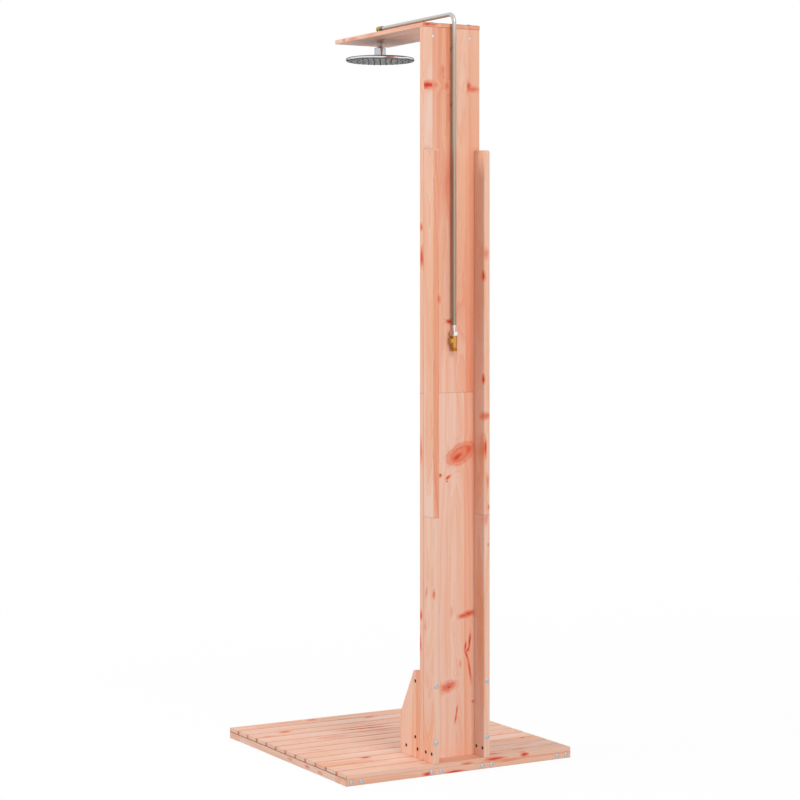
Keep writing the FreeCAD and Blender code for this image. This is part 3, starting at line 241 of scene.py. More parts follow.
def fir(name, lay, tone, seed, staves=(), knots=(), figure=1.0, gloss=0.38, gap=0.28,
        joint=0.0, foot=0.0):
    """Planed fir: growth rings cut from a log whose heart runs below the board.

    lay says which way the grain runs; tone goes from 0, pale, to 1, rosy. staves are the
    strips of a board: (edge towards +X or +Y in metres, tone at the board's far end, tone at
    its near end, shift of the log's heart).
    knots are (centre, radii, tilt in degrees, strength) in the part's own frame, then, where
    a strip cuts one off, that strip's two sides. figure is how strongly the grain shows, and
    gloss the least roughness; gap is how dark the joints at its ends are, joint the line
    where a rail's inner edge lies on the board, and foot how dark the painted shade is in the
    edges of its ends: in the gaps at its sides and along the face it rests on.
    """
    low, high = (Vector(corner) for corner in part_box(name))
    middle = (low + high) / 2
    bench = Bench("fir_" + name)
    point = bench.place()
    local = bench.parted(bench.mapped(point, tuple(-part for part in middle)))
    across, thick, along = (local[number] for number in ORDERS[lay])
    reach = [(high - low)[number] / 2 for number in ORDERS[lay]]
    heart = 0.013 * math.sin(seed * 2.3)
    if staves:
        height = bench.spread(along, -reach[2], reach[2], kind="LINEAR")
        tone, heart = strip_tones(bench, staves, across, height)

    def drawn_out(side, length, start):
        """The point in a frame that is squeezed along the grain, for long patterns."""
        return bench.joined(bench.maths("MULTIPLY", across, side), bench.maths("MULTIPLY", thick, side),
                            bench.maths("MULTIPLY_ADD", along, length, start))

    # slow bends of the trunk, then the log's own distance from its heart
    stretched = drawn_out(7.0, 1.3, seed * 3.7)
    sway = bench.swing(bench.cloud(stretched, 1.0, 3.0), 0.05)
    shiver = bench.swing(bench.cloud(drawn_out(55.0, 9.0, seed), 1.0, 3.0), 0.007)
    depth = 0.055 + 0.02 * math.sin(seed * 1.7)
    slope = 0.035 * math.cos(seed * 5.1)
    aside = bench.maths("SUBTRACT", across, heart)
    aside = bench.maths("ADD", aside, bench.maths("MULTIPLY", sway, 0.6))
    under = bench.maths("ADD", bench.maths("MULTIPLY_ADD", along, slope, depth), thick)
    under = bench.maths("ADD", under, sway)
    radius = bench.maths("ADD", bench.length(bench.joined(aside, under, 0.0)), shiver)
    spots = []
    for centre, radii, tilt, strength, *strip in knots:
        offset = bench.mapped(point, tuple(-part for part in centre))
        turn = [0, 0, 0]
        turn[TILT_AXES[lay]] = math.radians(tilt)
        wide = WIDE_KNOT[0] < max(radii) < WIDE_KNOT[1]
        away = knot_distance(bench, offset, radii, turn, wide)
        pull = bench.spread(away, 3.0, 0.0, 0.0, KNOT_PULL * strength, "SMOOTHERSTEP")
        radius = bench.maths("ADD", radius, pull)
        if strip:
            inside = bench.maths("MULTIPLY", bench.maths("GREATER_THAN", across, strip[0]),
                                 bench.maths("LESS_THAN", across, strip[1]))
            strength = bench.maths("MULTIPLY", inside, strength)
        spots.append((away, strength, wide))
    # early wood pale, late wood darker, with a sharp end to each year
    years = bench.maths("FRACT", bench.maths("MULTIPLY", radius, RINGS_PER_METRE))
    year = bench.ramp(years, ((0.0, (0, 0, 0, 1)), (0.55, (0.25, 0.25, 0.25, 1)),
                              (0.88, (1, 1, 1, 1)), (1.0, (0.05, 0.05, 0.05, 1))))
    decade = bench.cloud_along(bench.maths("MULTIPLY_ADD", radius, 75.0, seed * 11.0), 1.0, 2.0)
    fibre = bench.cloud(drawn_out(700.0, 14.0, 0.0), 1.0, 4.0, 0.7)
    patch = bench.cloud(stretched, 1.6, 2.0)
    shade = bench.maths("MULTIPLY_ADD", bench.spread(decade, 0.3, 0.72), 0.3 * figure, tone)
    shade = bench.maths("MULTIPLY_ADD", year, 0.2 * figure, shade)
    shade = bench.maths("MULTIPLY_ADD", fibre, 0.2, shade)
    shade = bench.maths("MULTIPLY_ADD", patch, 0.22, shade)
    shade = bench.maths("SUBTRACT", shade, 0.24 + 0.17 * figure, clamp=True)
    wood = bench.ramp(shade, ((0.0, PALE), (0.33, BLUSH), (0.66, AMBER), (1.0, ROSE)))
    warm = bench.cloud_along(bench.maths("MULTIPLY_ADD", radius, 110.0, seed * 5.0 + 40.0), 1.0, 1.0)
    wood = bench.mixed(bench.spread(warm, 0.45, 0.62, 0.0, min(0.35 * figure, 1.0)), wood, HONEY)
    for away, strength, wide in spots:
        wood = stained(bench, wood, year, away, strength, wide)

    # a fine dark line along every edge, where boards meet
    near = [bench.spread(bench.maths("ABSOLUTE", value), limit - 0.0018, limit - 0.0003)
            for value, limit in zip((across, thick, along), reach)]
    along_edge = bench.maths("MULTIPLY", bench.maths("MINIMUM", near[0], near[1]), 0.13)
    if joint:
        inner = bench.spread(across, 0.0026 - reach[0], 0.0008 - reach[0], 0.0, joint)
        along_edge = bench.maths("MAXIMUM", along_edge, inner)
    at_end = bench.maths("MINIMUM", bench.maths("MAXIMUM", near[0], near[1]), near[2])
    lines = bench.maths("MAXIMUM", along_edge, bench.maths("MULTIPLY", at_end, gap))
    wood = bench.mixed(lines, wood, SEAM)
    # painted shade at the ends: a dark line along the flanks for the shadow in the gaps between slats,
    # and a darker one along the face a slat rests on for the shadow where it lies on a beam
    if foot:
        rest = bench.spread(thick, 0.0034 - reach[1], 0.0016 - reach[1])
        flank = bench.spread(bench.maths("ABSOLUTE", across),
                             reach[0] - 0.0038, reach[0] - 0.0014, 0.0, 0.9)
        last = bench.spread(bench.maths("ABSOLUTE", along),
                            reach[2] - 0.0004, reach[2] - 0.0002, 0.0, foot)
        wood = bench.mixed(bench.maths("MULTIPLY", flank, last), wood, SEAM)
        wood = bench.mixed(bench.maths("MULTIPLY", rest, last), wood, PAINTED_GAP_SHADE)
    bench.set(Base_Color=wood, Roughness=bench.spread(fibre, 0.3, 0.7, gloss, gloss + 0.14))
    bench.bump(bench.maths("MULTIPLY_ADD", year, 0.5, fibre), RELIEF, 0.5)
    return bench.finish


def finish_node(name, finish):
    """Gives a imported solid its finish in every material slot."""
    for slot in nodes[name].material_slots:
        slot.material = finish


MAIN_UPPER_STAVES = ((-0.046, 0.36, 0.76, 0.62), (-0.013, 0.14, 0.46, 0.40), (0.018, 0.84, 0.24, 0.56),
                     (0.0617, 0.74, 0.20, 0.48), (0.0885, 0.08, 0.10, 0.66), (0.1, 0.34, 0.38, 0.66))
MAIN_LOWER_STAVES = ((-0.040, 0.55, 0.34, 0.60), (-0.014, 0.27, 0.20, 0.50), (0.002, 0.02, 0.05, 0.46),
                     (0.012, 0.22, 0.15, 0.44), (0.0885, 0.03, 0.12, 0.35), (0.1, 0.38, 0.38, 0.35))
CANOPY_STAVES = ((-0.030, 0.66, 0.35, 0.62), (0.034, 0.70, 0.40, 0.44), (0.1, 0.44, 0.10, 0.55))
# The rails' broad sides and their rear faces; left and right are those of someone who bathes.
LEFT_UPPER_STAVES = ((0.0252, 0.10, 0.12, 0.50), (0.1, 0.26, 0.32, 0.50))
LEFT_LOWER_STAVES = ((0.0252, 0.08, 0.08, 0.50), (0.1, 0.12, 0.06, 0.50))
RIGHT_UPPER_STAVES = ((0.0252, 0.34, 0.24, 0.50), (0.1, 0.66, 0.74, 0.50))
RIGHT_LOWER_STAVES = ((0.0252, 0.32, 0.30, 0.50), (0.1, 0.14, 0.12, 0.50))
STAVES = {"left_rail_upper": LEFT_UPPER_STAVES, "left_rail_lower": LEFT_LOWER_STAVES,
          "right_rail_upper": RIGHT_UPPER_STAVES, "right_rail_lower": RIGHT_LOWER_STAVES}

UPPER_KNOTS = (
    ((0.0790, 0.304, 1.8706), (0.0320, 0.03, 0.0095), 0, 1.0, 0.0617, 0.0885),
    ((0.0560, 0.304, 1.8716), (0.0120, 0.03, 0.0060), 0, 0.35, 0.03, 0.0617),
    ((-0.0535, 0.304, 1.8710), (0.0080, 0.03, 0.0120), 0, 1.0, -0.09, -0.050),
    ((-0.0700, 0.304, 1.8650), (0.0180, 0.03, 0.0080), 0, 0.65, -0.09, -0.050),
    ((0.0150, 0.304, 1.8700), (0.0060, 0.03, 0.0120), 0, 0.6),
    ((0.0280, 0.304, 1.9140), (0.0060, 0.02, 0.0110), 0, 0.35),
    ((0.0260, 0.304, 1.8950), (0.0040, 0.02, 0.0070), 0, 0.30),
    ((0.0090, 0.304, 1.2250), (0.0090, 0.03, 0.0055), 12, 1.0),
    ((0.0380, 0.304, 1.2850), (0.0030, 0.02, 0.0120), 0, 0.5),
    ((0.0140, 0.304, 1.6100), (0.0200, 0.03, 0.0700), 8, 0.30),
    ((0.0900, 0.2916, 1.4830), (0.0040, 0.0060, 0.0100), 0, 0.9),
    ((0.0900, 0.2945, 1.4000), (0.0040, 0.0080, 0.0240), 0, 1.0),
)
LOWER_KNOTS = (
    ((-0.0284, 0.304, 0.8610), (0.0460, 0.05, 0.0250), -24, 0.85),
    ((-0.0182, 0.304, 0.8529), (0.0190, 0.03, 0.0092), -28, 1.0),
    ((-0.0560, 0.304, 0.8730), (0.0180, 0.03, 0.0110), -24, 0.35),
    ((0.0366, 0.304, 0.8042), (0.0044, 0.02, 0.0046), 0, 1.0),
    ((0.0120, 0.304, 0.7976), (0.0090, 0.03, 0.0036), -33, 1.0),
    ((0.0152, 0.304, 0.7868), (0.0026, 0.02, 0.0030), 0, 0.8),
    ((-0.0590, 0.304, 0.4215), (0.0150, 0.03, 0.0065), -4, 0.85),
    ((-0.0470, 0.304, 0.4170), (0.0200, 0.03, 0.0075), -9, 0.75),
    ((-0.0330, 0.304, 0.4140), (0.0130, 0.03, 0.0050), -6, 0.65),
    ((-0.0573, 0.304, 0.3423), (0.0034, 0.03, 0.0240), 7, 1.0),
    ((-0.0439, 0.304, 0.3296), (0.0030, 0.03, 0.0140), 5, 1.0),
    ((-0.0474, 0.304, 0.3059), (0.0032, 0.03, 0.0160), -20, 1.0),
    ((-0.0578, 0.304, 0.2636), (0.0034, 0.03, 0.0340), -10, 0.85),
    ((-0.0513, 0.304, 0.3201), (0.0026, 0.03, 0.0110), 37, 1.0),
    ((0.0112, 0.304, 0.2238), (0.0240, 0.03, 0.0130), -13, 0.8),
    ((0.0088, 0.304, 0.2225), (0.0085, 0.03, 0.0040), -15, 1.0),
    ((-0.0160, 0.304, 0.1550), (0.0026, 0.03, 0.0150), 8, 0.9),
    ((-0.0125, 0.304, 0.1340), (0.0026, 0.03, 0.0130), 10, 0.9),
    ((-0.0683, 0.304, 0.1764), (0.0050, 0.03, 0.0040), 0, 0.7),
    ((-0.0269, 0.304, 0.2829), (0.0030, 0.03, 0.0090), 0, 0.45),
    ((0.0000, 0.304, 0.4280), (0.0030, 0.03, 0.0120), 0, 0.35),
    ((0.0900, 0.2900, 0.8720), (0.0040, 0.0070, 0.0320), 0, 0.6),
    ((0.0900, 0.2906, 0.4240), (0.0040, 0.0050, 0.0120), 0, 1.0),
    ((0.0900, 0.2880, 0.3450), (0.0040, 0.0045, 0.0220), 0, 0.9),
)
RIGHT_LOWER_KNOTS = (
    ((0.0880, 0.3570, 0.4884), (0.0030, 0.0060, 0.0110), 0, 0.75),
    ((0.0900, 0.3200, 0.4900), (0.02, 0.0040, 0.0130), 10, 0.55),
    ((0.0900, 0.3130, 0.3970), (0.02, 0.0050, 0.0110), 0, 0.40),
)
RIGHT_UPPER_KNOTS = (
    ((0.0738, 0.3570, 1.2880), (0.0030, 0.0060, 0.0120), 0, 0.8),
)
LEFT_LOWER_KNOTS = (
    ((-0.0780, 0.3570, 0.6840), (0.0060, 0.02, 0.0170), 0, 0.5),
    ((-0.0851, 0.3570, 0.6131), (0.0030, 0.02, 0.0060), 0, 0.6),
)
LEFT_UPPER_KNOTS = (
    ((-0.0786, 0.3570, 1.4104), (0.0070, 0.02, 0.0140), 0, 0.5),
    ((-0.0720, 0.3520, 1.3500), (0.0050, 0.0070, 0.0130), 0, 1.0),
    ((-0.0720, 0.3520, 1.0676), (0.0045, 0.0060, 0.0120), 0, 1.0),
    ((-0.0800, 0.3570, 0.9662), (0.0150, 0.02, 0.0090), 0, 0.7),
    ((-0.0757, 0.3570, 0.8777), (0.0040, 0.02, 0.0250), 0, 1.0),
    ((-0.0830, 0.3570, 0.7880), (0.0040, 0.02, 0.0180), 0, 0.5),
    ((-0.0857, 0.3570, 0.7164), (0.0030, 0.02, 0.0060), 0, 0.7),
)
CANOPY_KNOTS = (
    ((0.0760, 0.304, 2.0370), (0.0150, 0.008, 0.0040), 0, 1.0),
    ((0.0560, 0.304, 2.0370), (0.0110, 0.008, 0.0030), 0, 0.6),
    ((0.0900, -0.0960, 2.0345), (0.006, 0.0280, 0.0040), 0, 0.55),
    ((0.0900, -0.1500, 2.0370), (0.006, 0.0080, 0.0060), 0, 0.60),
    ((0.0900, 0.0100, 2.0370), (0.006, 0.0200, 0.0040), 0, 0.30),
)
BATTEN_KNOTS = (
    ((0.1080, 0.357, 0.0060), (0.0150, 0.02, 0.0045), 0, 1.0),
    ((0.0230, 0.357, 0.0030), (0.0270, 0.02, 0.0034), 0, 1.0),
    ((-0.1500, 0.357, 0.0150), (0.0300, 0.02, 0.0030), 0, 0.4),
)
BEAM_KNOTS = (
    ((0.3570, 0.0283, 0.0101), (0.01, 0.0140, 0.0040), 0, 0.50),
    ((0.3570, 0.1315, 0.0098), (0.01, 0.0120, 0.0040), 0, 0.70),
    ((0.3570, 0.2063, 0.0078), (0.01, 0.0130, 0.0040), 0, 0.55),
    ((0.3570, 0.3200, 0.0109), (0.01, 0.0180, 0.0040), 0, 0.75),
)
SLAT_KNOTS = {
    "slat_01": (((0.0980, -0.336, 0.030), (0.0150, 0.006, 0.01), 0, 0.96),),
    "slat_02": (((-0.0710, -0.290, 0.030), (0.0160, 0.006, 0.01), 0, 0.96),),
    "slat_03": (((0.2460, -0.221, 0.030), (0.0180, 0.007, 0.01), 0, 1.0),
                ((0.3150, -0.189, 0.030), (0.0160, 0.003, 0.02), 0, 0.84)),
    "slat_04": (((0.0140, -0.153, 0.030), (0.0900, 0.0062, 0.01), 3, 1.0),),
    "slat_05": (((0.1550, -0.088, 0.030), (0.0480, 0.0170, 0.01), 0, 0.42),
                ((-0.0200, -0.100, 0.030), (0.0300, 0.004, 0.01), 0, 0.48)),
    "slat_07": (((0.2800, 0.040, 0.030), (0.0300, 0.004, 0.01), 0, 0.48),),
    "slat_10": (((0.2090, 0.1905, 0.030), (0.0140, 0.009, 0.01), 0, 1.0),
                ((-0.3070, 0.187, 0.030), (0.0090, 0.005, 0.01), 0, 0.96)),
    "slat_11": (((-0.2600, 0.262, 0.030), (0.0300, 0.004, 0.01), 0, 0.48),),
    "slat_12": (((-0.1060, 0.357, 0.0240), (0.0300, 0.02, 0.0040), 0, 1.0),
                ((-0.0160, 0.357, 0.0190), (0.0150, 0.02, 0.0050), 0, 0.7),
                ((-0.1150, 0.327, 0.0300), (0.0260, 0.0055, 0.01), 0, 0.85),
                ((-0.2036, 0.357, 0.0250), (0.0120, 0.02, 0.0050), 0, 1.0),
                ((-0.2150, 0.306, 0.030), (0.0180, 0.005, 0.01), 0, 0.84),
                ((0.0800, 0.335, 0.0300), (0.0300, 0.004, 0.0040), 0, 0.6)),
}
BOARDS = {
    "front_batten": ("X", 0.35, 1.3), "rear_batten": ("X", 0.35, 2.9),
    "beam_1": ("Y", 0.16, 3.1), "beam_2": ("Y", 0.40, 4.7),
    "beam_3": ("Y", 0.35, 5.9), "beam_4": ("Y", 0.16, 6.1),
    "left_rail_lower": ("Z side", 0.04, 7.7), "left_rail_upper": ("Z side", 0.20, 8.2),
    "right_rail_lower": ("Z side", 0.38, 9.4), "right_rail_upper": ("Z side", 0.32, 10.6),
    "left_gusset": ("Z side", 0.14, 11.8), "right_gusset": ("Z side", 0.24, 12.5),
}
for number in range(1, 13):
    BOARDS["slat_%02d" % number] = ("X", 0.20 + 0.12 * math.sin(number * 2.6), 20.0 + number * 1.37)
KNOTS = {"left_rail_lower": LEFT_LOWER_KNOTS, "right_rail_lower": RIGHT_LOWER_KNOTS,
         "left_rail_upper": LEFT_UPPER_KNOTS, "right_rail_upper": RIGHT_UPPER_KNOTS,
         "rear_batten": BATTEN_KNOTS, "beam_1": BEAM_KNOTS, "beam_4": BEAM_KNOTS, **SLAT_KNOTS}
# how dark the painted shade line in the edges of the rails' ends is
RAIL_END_SHADES = {"left_rail_lower": 0.06, "left_rail_upper": 0.32, "right_rail_lower": 0.12,
        "right_rail_upper": 0.74}
for name, (lay, tone, seed) in BOARDS.items():
    finish_node(name, fir(name, lay, tone, seed, STAVES.get(name, ()), KNOTS.get(name, ()),
                          figure=2.6 if "gusset" in name else 1.2 if "rail" in name else 1.0,
                          gloss=0.55 if "slat" in name else 0.38, gap=0.0 if "slat" in name else 0.28,
                          joint=0.4 if "rail" in name else 0.0,
                          foot=0.7 if "slat" in name else RAIL_END_SHADES.get(name, 0.0)))
finish_node("main_board_upper", fir("main_board_upper", "Z", 0.4, 13.3, MAIN_UPPER_STAVES,
                                    UPPER_KNOTS, foot=0.38))
finish_node("main_board_lower", fir("main_board_lower", "Z", 0.3, 14.9, MAIN_LOWER_STAVES,
                                    LOWER_KNOTS, foot=0.38))
# On the canopy, gap=0.7 darkens the joint lines at its ends: painted shadow, for the gap under its rear
# edge.
finish_node("canopy_board", fir("canopy_board", "Y", 0.4, 15.7, CANOPY_STAVES, CANOPY_KNOTS,
                                gap=0.7, foot=0.10))


# ---------------------------------------------------------------- metals, rubber and plastic

def metal(name, shade, roughness, wear, grain, stretch=(1, 1, 1), relief=0.00002, edge=1.0):
    """Metal with a faint uneven sheen; grain is the pattern's scale in one metre."""
    bench = Bench(name)
    point = bench.mapped(bench.place(), (0, 0, 0), (0, 0, 0), stretch)
    cloud = bench.cloud(point, grain, 4.0, 0.6)
    tint = bench.mixed(cloud, tuple(part * (1 - wear) for part in shade[:3]) + (1,), shade)
    bench.set(Base_Color=tint, Metallic=1.0, Specular_Tint=(edge, edge, edge, 1),
              Roughness=bench.spread(cloud, 0.25, 0.75, roughness * 0.8, roughness * 1.25))
    bench.bump(cloud, relief, 0.4)
    return bench.finish


def satin_tube():
    """Drawn stainless tube: fine lines along it, and painted light, darker towards its foot and
    lightest over the canopy.
    """
    bench = Bench("satin_stainless")
    point = bench.place()
    cloud = bench.cloud(bench.mapped(point, scale=(1200, 1200, 30)), 1.0, 4.0, 0.6)
    height = bench.parted(point)[2]
    # painted light: the tube lighter towards the top and brightest over the canopy, where light falls
    # from above
    shade = bench.ramp(bench.spread(height, 1.2, 2.07, kind="LINEAR"),
                       ((0.0, colour(170, 156, 141)), (0.9, colour(184, 173, 160)),
                        (0.96, colour(200, 196, 190)), (1.0, colour(212, 209, 204))))
    tint = bench.mixed(bench.maths("MULTIPLY", cloud, 0.25), shade, colour(120, 112, 102))
    bench.set(Base_Color=tint, Metallic=1.0, Roughness=bench.spread(cloud, 0.25, 0.75, 0.32, 0.46))
    bench.bump(cloud, 0.00002, 0.4)
    return bench.finish


def speckled(name, dark, light, grain, metallic, roughness, edge=1.0):
    """The rose's face: light and dark by turns, painted highlight and painted shade of its nozzles."""
    bench = Bench(name)
    cloud = bench.cloud(bench.mapped(bench.place(), scale=(1, 0.7, 1)), grain, 1.0, 0.5)
    # painted highlight and painted shade: light and dark patches for the nozzles' lit tips and shaded
    # sides
    tint = bench.mixed(bench.spread(cloud, 0.40, 0.60), dark, light)
    bench.set(Base_Color=tint, Metallic=metallic, Specular_Tint=(edge, edge, edge, 1),
              Roughness=bench.spread(cloud, 0.3, 0.7, roughness, roughness * 1.4))
    bench.bump(cloud, 0.00002, 0.4)
    return bench.finish


def rim_chrome_painted_reflection(top, height):
    """The rose's plating, with a painted reflection on its rim: a bright sky between two dark lines."""
    bench = Bench("rose_chrome")
    point = bench.place()
    cloud = bench.cloud(point, 300.0, 4.0, 0.6)
    # painted reflection: the rim's colour goes by height through dark lines and a bright band
    level = bench.spread(bench.parted(point)[2], top - height, top, kind="LINEAR")
    level = bench.maths("MULTIPLY_ADD", bench.cloud(point, 40.0, 1.0), 0.36, level)
    shade = bench.ramp(level, ((0.0, colour(140, 142, 145)), (0.14, colour(110, 111, 114)),
                               (0.26, colour(58, 58, 60)), (0.42, colour(170, 171, 173)),
                               (0.60, colour(238, 238, 238)), (0.78, colour(238, 238, 238)),
                               (0.92, colour(84, 82, 82)), (1.0, colour(190, 191, 194))))
    tint = bench.mixed(bench.maths("MULTIPLY", cloud, 0.12), shade, colour(120, 120, 122))
    bench.set(Base_Color=tint, Metallic=1.0, Specular_Tint=(0.3, 0.3, 0.3, 1),
              Roughness=bench.spread(cloud, 0.25, 0.75, 0.06, 0.11))
    bench.bump(cloud, 0.000004, 0.4)
    return bench.finish


def moulded(name, shade, roughness, grain):
    """Rubber, silicone or nylon: a soft uneven surface with a little mottling."""
    bench = Bench(name)
    cloud = bench.cloud(bench.place(), grain, 3.0, 0.6)
    bench.set(Base_Color=bench.mixed(cloud, tuple(part * 0.8 for part in shade[:3]) + (1,), shade),
              Roughness=bench.spread(cloud, 0.2, 0.8, roughness * 0.85, roughness))
    bench.bump(cloud, 0.00003, 0.4)
    return bench.finish


SATIN_TUBE = satin_tube()
BRASS = metal("turned_brass", colour(216, 168, 88), 0.24, 0.16, 900.0)
# the elbow's brass: a darker, more olive copy of the valve's brass
ELBOW_BRASS = metal("elbow_brass", colour(188, 156, 82), 0.24, 0.16, 900.0)
CHROME = metal("chrome", colour(196, 197, 202), 0.05, 0.05, 300.0, relief=0.000004, edge=0.5)
# a lighter copy of the chrome, painted light, for the adapter and the union nut, which shine brightest
BRIGHT_CHROME = metal("bright_chrome", colour(238, 238, 238), 0.07, 0.04, 300.0, relief=0.000004,
                      edge=0.5)
ROSE_CHROME = rim_chrome_painted_reflection(1.984, 0.010)
# the stem's rosy grey is painted reflection of the wooden canopy above it
STEM_STEEL = metal("stem_steel", colour(190, 174, 166), 0.32, 0.10, 300.0)
ZINC = metal("zinc_plate", colour(196, 203, 210), 0.24, 0.2, 900.0, edge=0.3)
PALE_ZINC = metal("pale_zinc", colour(232, 228, 226), 0.3, 0.2, 900.0, edge=0.3)
FACE_CHROME = speckled("face_chrome", colour(44, 45, 46), colour(176, 178, 176), 250.0, 0.2, 0.4, 0.3)
DARK_STEEL = metal("dark_steel", colour(120, 122, 126), 0.28, 0.15, 500.0)
BLACK_STEEL = metal("black_steel", colour(84, 78, 72), 0.34, 0.3, 500.0, edge=0.3)
GREY_RUBBER = speckled("silicone", colour(10, 11, 12), colour(70, 72, 72), 300.0, 0.0, 0.55)
BLACK_RUBBER = moulded("rubber", colour(28, 28, 30), 0.6, 700.0)
WHITE_NYLON = moulded("nylon", colour(225, 222, 214), 0.4, 600.0)

finish_node("valve_ball", CHROME)
finish_node("tube_bosses", ZINC)
finish_node("face_plate", FACE_CHROME)
finish_node("nozzle_mat", GREY_RUBBER)
finish_node("union_seal", BLACK_RUBBER)
finish_node("ball_seat", WHITE_NYLON)

# ---------------------------------------------------------------- how the pieces are made

def spun(outline, steps=48, closed=False):
    """A shape from the lathe: outline is (radius, height) pairs in millimetres."""
    shape = bmesh.new()
    points = [shape.verts.new((radius / 1000, 0, height / 1000)) for radius, height in outline]
    edges = [shape.edges.new(pair) for pair in zip(points, points[1:])]
    if closed:
        edges.append(shape.edges.new((points[-1], points[0])))
    bmesh.ops.spin(shape, geom=points + edges, cent=(0, 0, 0), axis=(0, 0, 1), dvec=(0, 0, 0),
                   angle=math.tau, steps=steps, use_merge=True, use_duplicate=False)
    bmesh.ops.remove_doubles(shape, verts=shape.verts, dist=1e-7)
    bmesh.ops.recalc_face_normals(shape, faces=shape.faces)
    return shape


def six_sided(points, flats, corner=0.0):
    """Presses points of a turned shape in to a hexagon, flats being its width in millimetres."""
    for point in points:
        turn = math.atan2(point.co.y, point.co.x) - corner
        reach = flats / 2000 / math.cos((turn + math.pi / 6) % (math.pi / 3) - math.pi / 6)
        out = math.hypot(point.co.x, point.co.y)
        if out > reach:
            point.co.x *= reach / out
            point.co.y *= reach / out


def corners_of(made):
    """The points among what an operator made."""
    return [item for item in made["geom"] if isinstance(item, bmesh.types.BMVert)]


def slotted(shape, planes, chosen, depth):
    """Cuts a slot: planes are (place in mm, side) of its walls, and chosen picks its floor."""
    for offset, side in planes:
        whole = shape.verts[:] + shape.edges[:] + shape.faces[:]
        bmesh.ops.bisect_plane(shape, geom=whole, dist=1e-6, plane_no=side,
                               plane_co=tuple(part * offset / 1000 for part in side))
    ground = [face for face in shape.faces if chosen(face.calc_center_median())]
    sunk = bmesh.ops.extrude_face_region(shape, geom=ground)
    bmesh.ops.translate(shape, vec=(0, 0, -depth), verts=corners_of(sunk))
    bmesh.ops.delete(shape, geom=ground, context="FACES")


def placed(piece, shape, at, towards=(0, 0, 1), turn=0.0):
    """Moves a shape from the bench to its place, and adds it to the piece."""
    aim = Vector((0, 0, 1)).rotation_difference(Vector(towards)).to_matrix().to_4x4()
    move = Matrix.Translation(at) @ aim @ Matrix.Rotation(turn, 4, "Z")
    bmesh.ops.transform(shape, matrix=move, verts=shape.verts)
    held = bpy.data.meshes.new("held")
    shape.to_mesh(held)
    shape.free()
    piece.from_mesh(held)
    bpy.data.meshes.remove(held)


def finished(name, piece, body, finish, stands_for=(), crease=32):
    """Hands a piece to its body with its finish; stands_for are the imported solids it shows."""
    data = bpy.data.meshes.new(name)
    piece.to_mesh(data)
    piece.free()
    data.materials.append(finish)
    data.shade_smooth()
    data.set_sharp_from_angle(angle=math.radians(crease))
    made = bpy.data.objects.new(name, data)
    scene.collection.objects.link(made)
    even = made.modifiers.new("even_shading", "WEIGHTED_NORMAL")
    even.keep_sharp = True
    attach(made, body)
    for node in stands_for:
        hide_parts(node)
    return made


def arc(centre, reach, start, stop, steps):
    """Points of an arc for an outline, angles in degrees from the outward direction."""
    turns = [math.radians(start + (stop - start) * number / steps) for number in range(steps + 1)]
    return [(centre[0] + reach[0] * math.cos(turn), centre[1] + reach[1] * math.sin(turn))
            for turn in turns]


def turned_part(name, node, outline, at, body, finish, towards=(0, 0, 1), steps=48):
    """A piece that comes whole from the lathe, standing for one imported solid."""
    piece = bmesh.new()
    placed(piece, spun(outline, steps, closed=True), at, towards)
    finished(name, piece, body, finish, (node,))


# ---------------------------------------------------------------- riser tube and elbow

TUBE_Y = 0.3165
TUBE_FOOT = 1.216
TUBE_TOP = 2.069
BEND = 0.025
TUBE_END = -0.093
ELBOW_MOUTH = -0.089
HEAD_Y = -0.096


def drawn(piece, mouth, move, steps):
    """Draws the tube's open end on by a straight run, and hands back its new mouth."""
    for _ in range(steps):
        made = bmesh.ops.extrude_edge_only(piece, edges=mouth)
        bmesh.ops.translate(piece, vec=[part / steps for part in move], verts=corners_of(made))
        mouth = [item for item in made["geom"] if isinstance(item, bmesh.types.BMEdge)]
    return mouth


tube = bmesh.new()
bmesh.ops.create_circle(tube, segments=32, radius=0.006,
                        matrix=Matrix.Translation((0, TUBE_Y, TUBE_FOOT)))
mouth = drawn(tube, tube.edges[:], (0, 0, TUBE_TOP - BEND - TUBE_FOOT), 8)
bent = bmesh.ops.spin(tube, geom=mouth, cent=(0, TUBE_Y - BEND, TUBE_TOP - BEND), axis=(1, 0, 0),
                      dvec=(0, 0, 0), angle=math.pi / 2, steps=14, use_merge=False, use_duplicate=False)
mouth = [item for item in bent["geom_last"] if isinstance(item, bmesh.types.BMEdge)]
drawn(tube, mouth, (0, TUBE_END - (TUBE_Y - BEND), 0), 4)
bmesh.ops.recalc_face_normals(tube, faces=tube.faces)
finished("bent_riser_tube", tube, "post", SATIN_TUBE, ("riser_tube",))

elbow_foot = spun([(0, 0), (10.4, 0), (11, 0.6), (11, 9.6), (10.4, 10.6), (8.2, 11.4), (6.9, 12.2),
                   (6.5, 13.5), (6.5, 23), (0, 23)])
six_sided([point for point in elbow_foot.verts if point.co.z < 0.0112], 20.4, math.radians(30))
elbow_barrel = spun([(0, 0), (7.2, 0), (7.8, 0.3), (8, 0.9), (8, 3.4), (7.5, 3.9), (7.5, 5), (8, 5.5),
                     (8, 16.5)] + arc((0, 16.5), (8, 6.5), 6, 90, 10))
elbow = bmesh.new()
placed(elbow, elbow_foot, (0, HEAD_Y, 2.043))
placed(elbow, elbow_barrel, (0, ELBOW_MOUTH, TUBE_TOP), (0, -1, 0))
finished("brass_elbow", elbow, "post", ELBOW_BRASS, ("elbow",))

turned_part("tube_sleeve", "tube_nut",
            [(6.06, 0), (7.2, 0), (7.2, 3.6), (6.9, 4), (7.2, 4.4), (7.2, 12.6), (6.9, 13.4),
             (6.4, 14), (6.06, 14)],
            (0, ELBOW_MOUTH, TUBE_TOP), "post", DARK_STEEL, (0, 1, 0))
turned_part("flat_washer", "elbow_washer",
            [(7.75, 0), (10.8, 0), (11, 0.3), (11, 0.7), (10.8, 1), (7.75, 1)],
            (0, HEAD_Y, 2.042), "post", BLACK_RUBBER)

# ---------------------------------------------------------------- stem, ball joint and rose

